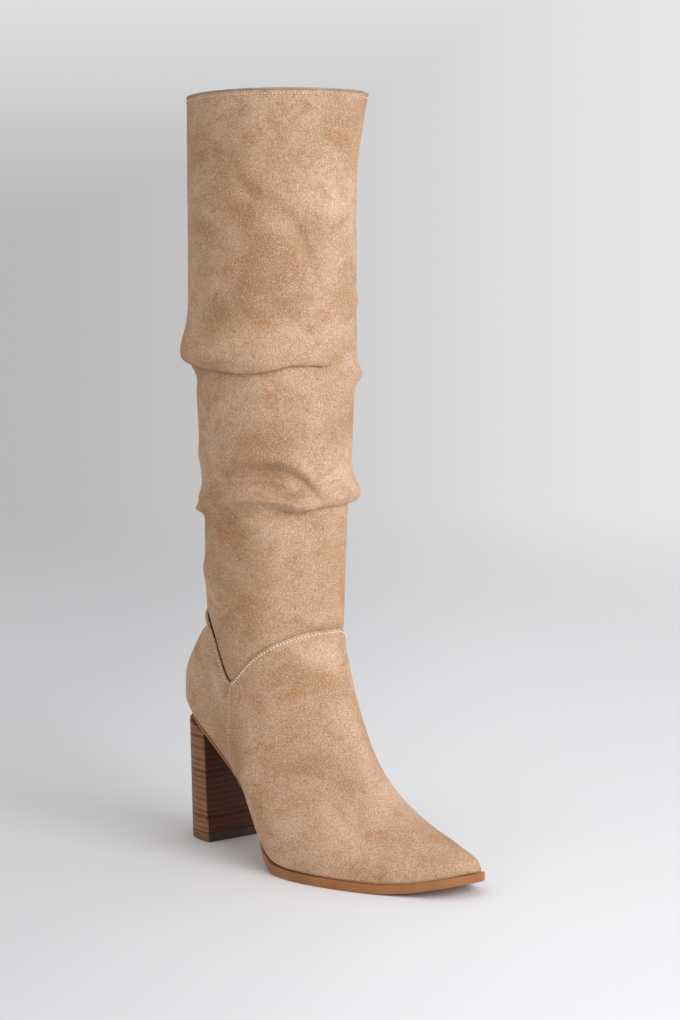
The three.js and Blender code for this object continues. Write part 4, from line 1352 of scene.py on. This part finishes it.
def heel_outline(count=260):
    """The heel's section in plan: a straight breast, short straight sides and a full round back.

    The back is a superellipse, and the breast's two corners are arcs of the corner radius.
    """
    half = HEEL_WIDTH / 2
    turn = HEEL_BREAST_X - HEEL_SIDE_LENGTH
    a = np.linspace(0, math.pi / 2, 60)
    back_x = turn - (turn - HEEL_BACK_X) * np.cos(a) ** HEEL_SQUARE
    back_y = half * np.sin(a) ** HEEL_SQUARE
    b = np.linspace(0, math.pi / 2, 9)
    corner_x = HEEL_BREAST_X - HEEL_CORNER * (1 - np.sin(b))
    corner_y = half - HEEL_CORNER * (1 - np.cos(b))
    x = np.concatenate([back_x, corner_x, [HEEL_BREAST_X]])
    y = np.concatenate([back_y, corner_y, [0.0]])
    x = np.concatenate([x, x[::-1][1:-1]])
    y = np.concatenate([-y, y[::-1][1:-1]])
    return even_loop(np.column_stack([x, y]), count)


def heel_grid(low, high, edge, rows):
    """A block with the heel's section between two heights, its top and bottom edges rounded.

    It widens upwards by the flare, and its breast leans back. High is a height for each x.
    """
    outline = heel_outline()
    toward = unit(HEEL_CENTRE - outline)
    rings = []

    def add(inset, z, part=0.0):
        plan = outline + toward * inset
        plan = plan + (HEEL_CENTRE - plan) * part
        z = z(plan[:, 0]) if callable(z) else np.full(len(plan), z)
        forward = (plan[:, 0] - HEEL_BACK_X) / (HEEL_BREAST_X - HEEL_BACK_X)
        rings.append(np.column_stack([
            plan[:, 0] - BREAST_LEAN * forward * z, plan[:, 1] * (1 + HEEL_FLARE * z), z,
        ]))

    for part in (1.0, 0.6, 0.2):
        add(edge, low, part)
    arc = np.radians([0, 30, 60, 90])
    for a in arc:
        add(edge * (1 - math.sin(a)), low + edge * (1 - math.cos(a)))
    for k in np.linspace(0, 1, rows)[1:-1]:
        add(0.0, lambda x, k=k: low + edge + (high(x) - low - 2 * edge) * k)
    for a in arc[::-1]:
        add(edge * (1 - math.sin(a)), lambda x, a=a: high(x) - edge * (1 - math.cos(a)))
    for part in (0.2, 0.6, 1.0):
        add(edge, high, part)
    grid = np.array(rings)
    return grid, grid_faces(len(grid), grid.shape[1], wrap=True)


BREAST_EDGE = 0.9  # the painted shade reaches this far back over the corners


def faces_forward(grid, faces):
    """1 for the faces of the heel's breast, which is painted darker than its sides and back as shade, else 0.
    """
    points = grid.reshape(-1, 3)
    edge = points[faces[:, 1]] - points[faces[:, 0]]
    middle = points[faces].mean(axis=1)
    front = HEEL_BREAST_X - BREAST_LEAN * middle[:, 2] - BREAST_EDGE
    return ((middle[:, 0] > front) & (np.abs(edge[:, 0]) < np.abs(edge[:, 1]))).astype(int)


class BOOT_OT_heel(bpy.types.Operator):
    """Makes the stacked heel block and the rubber top piece under it"""

    bl_idname = "boot.heel"
    bl_label = "Heel and top piece"

    def execute(self, context):
        materials = finishes(context)

        def seat(x):
            return bottom_z(x) - SOLE_GAP - WAIST_THICKNESS - SOLE_GAP

        grid, faces = heel_grid(TOP_PIECE_THICKNESS + SOLE_GAP, seat, 0.25, 26)
        # The breast's faces take the copy with painted shade.
        piece = make_piece(
            "heel_stack", grid, faces, [materials["stacked"], materials["breast"]],
            face_material=faces_forward(grid, faces), weld=True,
        )
        settle(piece, "boot", "stacked_heel", "heel_block")
        # The top piece's breast also takes the darker copy with painted shade.
        grid, faces = heel_grid(0.0, lambda x: np.full_like(x, TOP_PIECE_THICKNESS), 0.35, 5)
        piece = make_piece(
            "heel_top_piece", grid, faces, [materials["rubber"], materials["rubber_painted_shade"]],
            face_material=faces_forward(grid, faces), weld=True,
        )
        settle(piece, "boot", "top_piece", "top_piece")
        return {"FINISHED"}


# ---------------------------------------------------------------- studio

SHOW_AZIMUTH = math.radians(50.0)  # the boot's show side is seen from here
SHOW_RIGHT = (math.cos(SHOW_AZIMUTH), math.sin(SHOW_AZIMUTH), 0.0)  # and this is then on the right
FLOOR_RADIUS = 4000.0
FLOOR_SOLID = 0.75  # metres from the boot within which the floor is whole
FLOOR_GONE = 2.2  # and past which it has melted into the air
TARGET = (0.07, 0.0, 0.22)  # the lamps' aim, in metres
CAMERA_PLACE = Vector((1.343, -0.971, 0.393))
CAMERA_PITCH = math.radians(6.1)  # downwards
SENSOR_WIDTH = 36.0

# Each lamp's place and size in metres, and its colour. Its power is the studio's value of the same name.
LAMPS = {
    "key": ((2.3, 0.2, 1.1), 1.8, "#f3f7ff"),
    "fill": ((-0.6, -1.9, 1.1), 1.6, "#ffe3c4"),
    "top": ((0.2, -0.2, 2.1), 0.9, "#ffffff"),
}


def studio_paper(studio):
    """Matt seamless paper with painted light, paler on the right of the show side, which melts into the air
    at some distance.
    """
    material, tree, shader, place = new_material("seamless_studio_paper", {
        "Roughness": 0.7, "Specular IOR Level": 0.25,
    })
    across = node(tree, "ShaderNodeVectorMath", {0: place, 1: SHOW_RIGHT}, "Value", operation="DOT_PRODUCT")
    side = node(tree, "ShaderNodeMapRange", {
        "Value": across, "From Min": -0.2, "From Max": 0.25,
    }, interpolation_type="SMOOTHSTEP")
    # Painted light: the floor's colour grows paler towards the show side's right, where the light falls.
    colour = node(tree, "ShaderNodeValToRGB", {"Fac": side}, stops=[
        (0.0, linear(studio.floor)), (1.0, linear(studio.floor_painted_light)),
    ])
    tree.links.new(colour, shader.inputs["Base Color"])
    distance = node(tree, "ShaderNodeVectorMath", {0: place}, "Value", operation="LENGTH")
    part = node(tree, "ShaderNodeMapRange", {
        "Value": distance, "From Min": FLOOR_SOLID, "From Max": FLOOR_GONE, "To Min": 1.0, "To Max": 0.0,
    }, interpolation_type="SMOOTHSTEP")
    tree.links.new(part, shader.inputs["Alpha"])
    return material


def studio_air(studio):
    """The light from all round: paler on the show side's right and above the horizon, dimmer overhead."""
    world = bpy.data.worlds.new("studio air")
    world.use_nodes = True
    tree = world.node_tree
    tree.nodes.clear()
    direction = node(tree, "ShaderNodeTexCoord", output="Generated")
    across = node(tree, "ShaderNodeVectorMath", {
        0: direction, 1: SHOW_RIGHT,
    }, "Value", operation="DOT_PRODUCT")
    raised = node(tree, "ShaderNodeSeparateXYZ", {"Vector": direction}, "Z")
    side = node(tree, "ShaderNodeMapRange", {
        "Value": across, "From Min": -0.16, "From Max": 0.16,
    }, interpolation_type="SMOOTHSTEP")
    higher = node(tree, "ShaderNodeMapRange", {
        "Value": raised, "From Min": 0.0, "From Max": 0.1, "To Max": 0.7,
    }, interpolation_type="SMOOTHSTEP")
    paler = node(tree, "ShaderNodeMath", {0: side, 1: higher}, operation="MAXIMUM")
    tint = node(tree, "ShaderNodeValToRGB", {"Fac": paler}, stops=[
        (0.0, linear(studio.air_left)), (1.0, linear(studio.air_right)),
    ])
    above = node(tree, "ShaderNodeValToRGB", {"Fac": raised}, stops=[(0.2, grey(1.0)), (0.85, grey(0.7))])
    air = node(tree, "ShaderNodeMix", {
        MIX_FACTOR: 1.0, MIX_A: tint, MIX_B: above,
    }, MIX_RESULT, data_type="RGBA", blend_type="MULTIPLY")
    background = node(tree, "ShaderNodeBackground", {"Color": air, "Strength": studio.air_strength})
    node(tree, "ShaderNodeOutputWorld", {"Surface": background})
    return world


def add_aimed(name, data, place, target):
    """Adds a lamp or camera at a place, with its -Z axis towards a target and its Y axis up."""
    thing = add_object(name, data)
    turn = (Vector(target) - Vector(place)).to_track_quat("-Z", "Y")
    thing.matrix_world = Matrix.Translation(place) @ turn.to_matrix().to_4x4()
    return thing


class BOOT_OT_studio(bpy.types.Operator):
    """Makes the pale floor, the soft lights, the world and the camera"""

    bl_idname = "boot.studio"
    bl_label = "Studio"

    def execute(self, context):
        studio = context.scene.boot_studio
        count, rings = 96, 24
        turns = np.linspace(0, 2 * math.pi, count, endpoint=False)
        radii = np.linspace(0, 1, rings)[:, None] ** 1.5 * FLOOR_RADIUS
        disc = np.stack([radii * np.cos(turns), radii * np.sin(turns), np.zeros((rings, count))], axis=-1)
        faces = grid_faces(rings, count, wrap=True)
        make_piece("floor", disc, faces, [studio_paper(studio)], weld=True)
        context.scene.world = studio_air(studio)
        for name, (place, size, colour) in LAMPS.items():
            lamp = bpy.data.lights.new(name, "AREA")
            lamp.shape = "DISK"
            lamp.size = size
            lamp.energy = getattr(studio, name)
            lamp.color = linear(colour)[:3]
            add_aimed(name, lamp, place, TARGET)
        camera = bpy.data.cameras.new("camera")
        camera.lens = studio.lens
        camera.sensor_width = SENSOR_WIDTH
        camera.clip_start = 0.05
        azimuth = SHOW_AZIMUTH + math.radians(studio.camera_turn)
        level = math.cos(CAMERA_PITCH)
        ahead = Vector((-math.sin(azimuth) * level, math.cos(azimuth) * level, -math.sin(CAMERA_PITCH)))
        context.scene.camera = add_aimed("camera", camera, CAMERA_PLACE, CAMERA_PLACE + ahead)
        context.scene.view_settings.view_transform = "Standard"
        return {"FINISHED"}


# ---------------------------------------------------------------- add-on

class BootSizes(bpy.types.PropertyGroup):
    stitch_pitch: bpy.props.FloatProperty(
        name="Stitch pitch", description="Distance from one stitch to the next",
        default=0.0023, unit="LENGTH", precision=4)
    stitch_length: bpy.props.FloatProperty(
        name="Stitch length", description="Visible length of one stitch",
        default=0.0013, unit="LENGTH", precision=4)
    thread: bpy.props.FloatProperty(
        name="Thread", description="Thickness of the sewing thread",
        default=0.001, unit="LENGTH", precision=5)
    stitch_margin: bpy.props.FloatProperty(
        name="Stitch margin", description="Distance of the seam stitches from the panel's edge",
        default=0.0014, unit="LENGTH", precision=4)
    heel_layer: bpy.props.FloatProperty(
        name="Heel layer", description="Thickness of one layer of the stacked heel",
        default=0.0038, unit="LENGTH", precision=4)
    coil_pitch: bpy.props.FloatProperty(
        name="Coil pitch", description="Distance from one turn of the zip's coil to the next",
        default=0.0016, unit="LENGTH", precision=4)


class BootColours(bpy.types.PropertyGroup):
    suede: bpy.props.StringProperty(
        name="Suede", description="Main colour of the suede", default="#b99779")
    suede_dark: bpy.props.StringProperty(
        name="Suede, dark", description="Where the nap lies away from the eye", default="#a78261")
    suede_light: bpy.props.StringProperty(
        name="Suede, light", description="Where the nap stands up", default="#c6a589")
    suede_brushed: bpy.props.StringProperty(
        name="Suede, brushed", description="Brushed patches, browner", default="#ac7e57")
    suede_blush: bpy.props.StringProperty(
        name="Suede, blush", description="Brushed patches, pinker", default="#be967c")
    suede_tips: bpy.props.StringProperty(
        name="Suede, tips", description="Pale tips of the nap", default="#e0cab6")
    binding: bpy.props.StringProperty(
        name="Binding", description="Edge of the collar", default="#a08d7e")
    pale_thread: bpy.props.StringProperty(
        name="Thread, pale", description="Colour of the stitches on the vamp", default="#f3e6d5")
    thread: bpy.props.StringProperty(
        name="Thread", description="Colour of all the other stitches", default="#dcc1a3")
    sole: bpy.props.StringProperty(
        name="Sole", description="Colour of the outsole", default="#a16d43")
    sole_dark: bpy.props.StringProperty(
        name="Sole, dark", description="Clouding of the outsole", default="#936039")
    heel: bpy.props.StringProperty(
        name="Heel", description="Main colour of the stacked heel", default="#7b5233")
    heel_dark: bpy.props.StringProperty(
        name="Heel, dark", description="Darkest layers", default="#6c452a")
    heel_light: bpy.props.StringProperty(
        name="Heel, light", description="Palest layers", default="#8a5e3b")
    heel_line: bpy.props.StringProperty(
        name="Heel, lines", description="Lines between layers", default="#a8754a")
    tape: bpy.props.StringProperty(
        name="Zip tape", description="Colour of the tape", default="#7a553d")
    # The darker colour between the tape's ribs is painted shade.
    tape_groove_shade: bpy.props.StringProperty(
        name="Zip tape, dark", description="Between its ribs", default="#4f3524")
    coil: bpy.props.StringProperty(
        name="Coil", description="Colour of the zip's coil", default="#d2b496")


class BootStudio(bpy.types.PropertyGroup):
    floor: bpy.props.StringProperty(
        name="Floor", description="Colour of the floor's darker side", default="#d8d8d9")
    # The floor's paler side is painted light, laid on top of the lamps' own light.
    floor_painted_light: bpy.props.StringProperty(
        name="Floor, right", description="Colour of the floor's paler side", default="#f0f0f0")
    air_left: bpy.props.StringProperty(
        name="Air, left", description="Colour of the darker side", default="#b9b9ba")
    air_right: bpy.props.StringProperty(
        name="Air, right", description="Colour of the paler side", default="#ebebec")
    air_strength: bpy.props.FloatProperty(
        name="Air strength", description="Light from all round", default=1.0)
    key: bpy.props.FloatProperty(
        name="Key", description="Power of the main light", default=46.0, unit="POWER")
    fill: bpy.props.FloatProperty(
        name="Fill", description="Power of the fill light", default=2.5, unit="POWER")
    top: bpy.props.FloatProperty(
        name="Top", description="Power of the light above", default=3.5, unit="POWER")
    lens: bpy.props.FloatProperty(
        name="Lens", description="Focal length in millimetres", default=89.1)
    camera_turn: bpy.props.FloatProperty(
        name="Camera turn", description="Degrees that centre the boot in the frame", default=1.36)


PIECES = (
    BOOT_OT_studio, BOOT_OT_leg, BOOT_OT_vamp, BOOT_OT_counter, BOOT_OT_lining, BOOT_OT_binding,
    BOOT_OT_stitches, BOOT_OT_zip, BOOT_OT_zip_head, BOOT_OT_sole, BOOT_OT_heel,
)


class BOOT_PT_sidebar(bpy.types.Panel):
    bl_label = "Boot"
    bl_idname = "BOOT_PT_sidebar"
    bl_space_type = "VIEW_3D"
    bl_region_type = "UI"
    bl_category = "Boot"

    def draw(self, context):
        for group in (context.scene.boot_sizes, context.scene.boot_colours, context.scene.boot_studio):
            box = self.layout.box()
            for name in group.__annotations__:
                box.prop(group, name)
        for operator in PIECES:
            self.layout.operator(operator.bl_idname)


GROUPS = (("boot_sizes", BootSizes), ("boot_colours", BootColours), ("boot_studio", BootStudio))


def register():
    for name, group in GROUPS:
        bpy.utils.register_class(group)
        setattr(bpy.types.Scene, name, bpy.props.PointerProperty(type=group))
    for operator in PIECES:
        bpy.utils.register_class(operator)
    bpy.utils.register_class(BOOT_PT_sidebar)


def unregister():
    bpy.utils.unregister_class(BOOT_PT_sidebar)
    for operator in reversed(PIECES):
        bpy.utils.unregister_class(operator)
    for name, group in reversed(GROUPS):
        delattr(bpy.types.Scene, name)
        bpy.utils.unregister_class(group)


def main():
    """Builds every piece in order."""
    register()
    for operator in PIECES:
        family, name = operator.bl_idname.split(".")
        getattr(getattr(bpy.ops, family), name)()


if __name__ == "__main__":
    main()
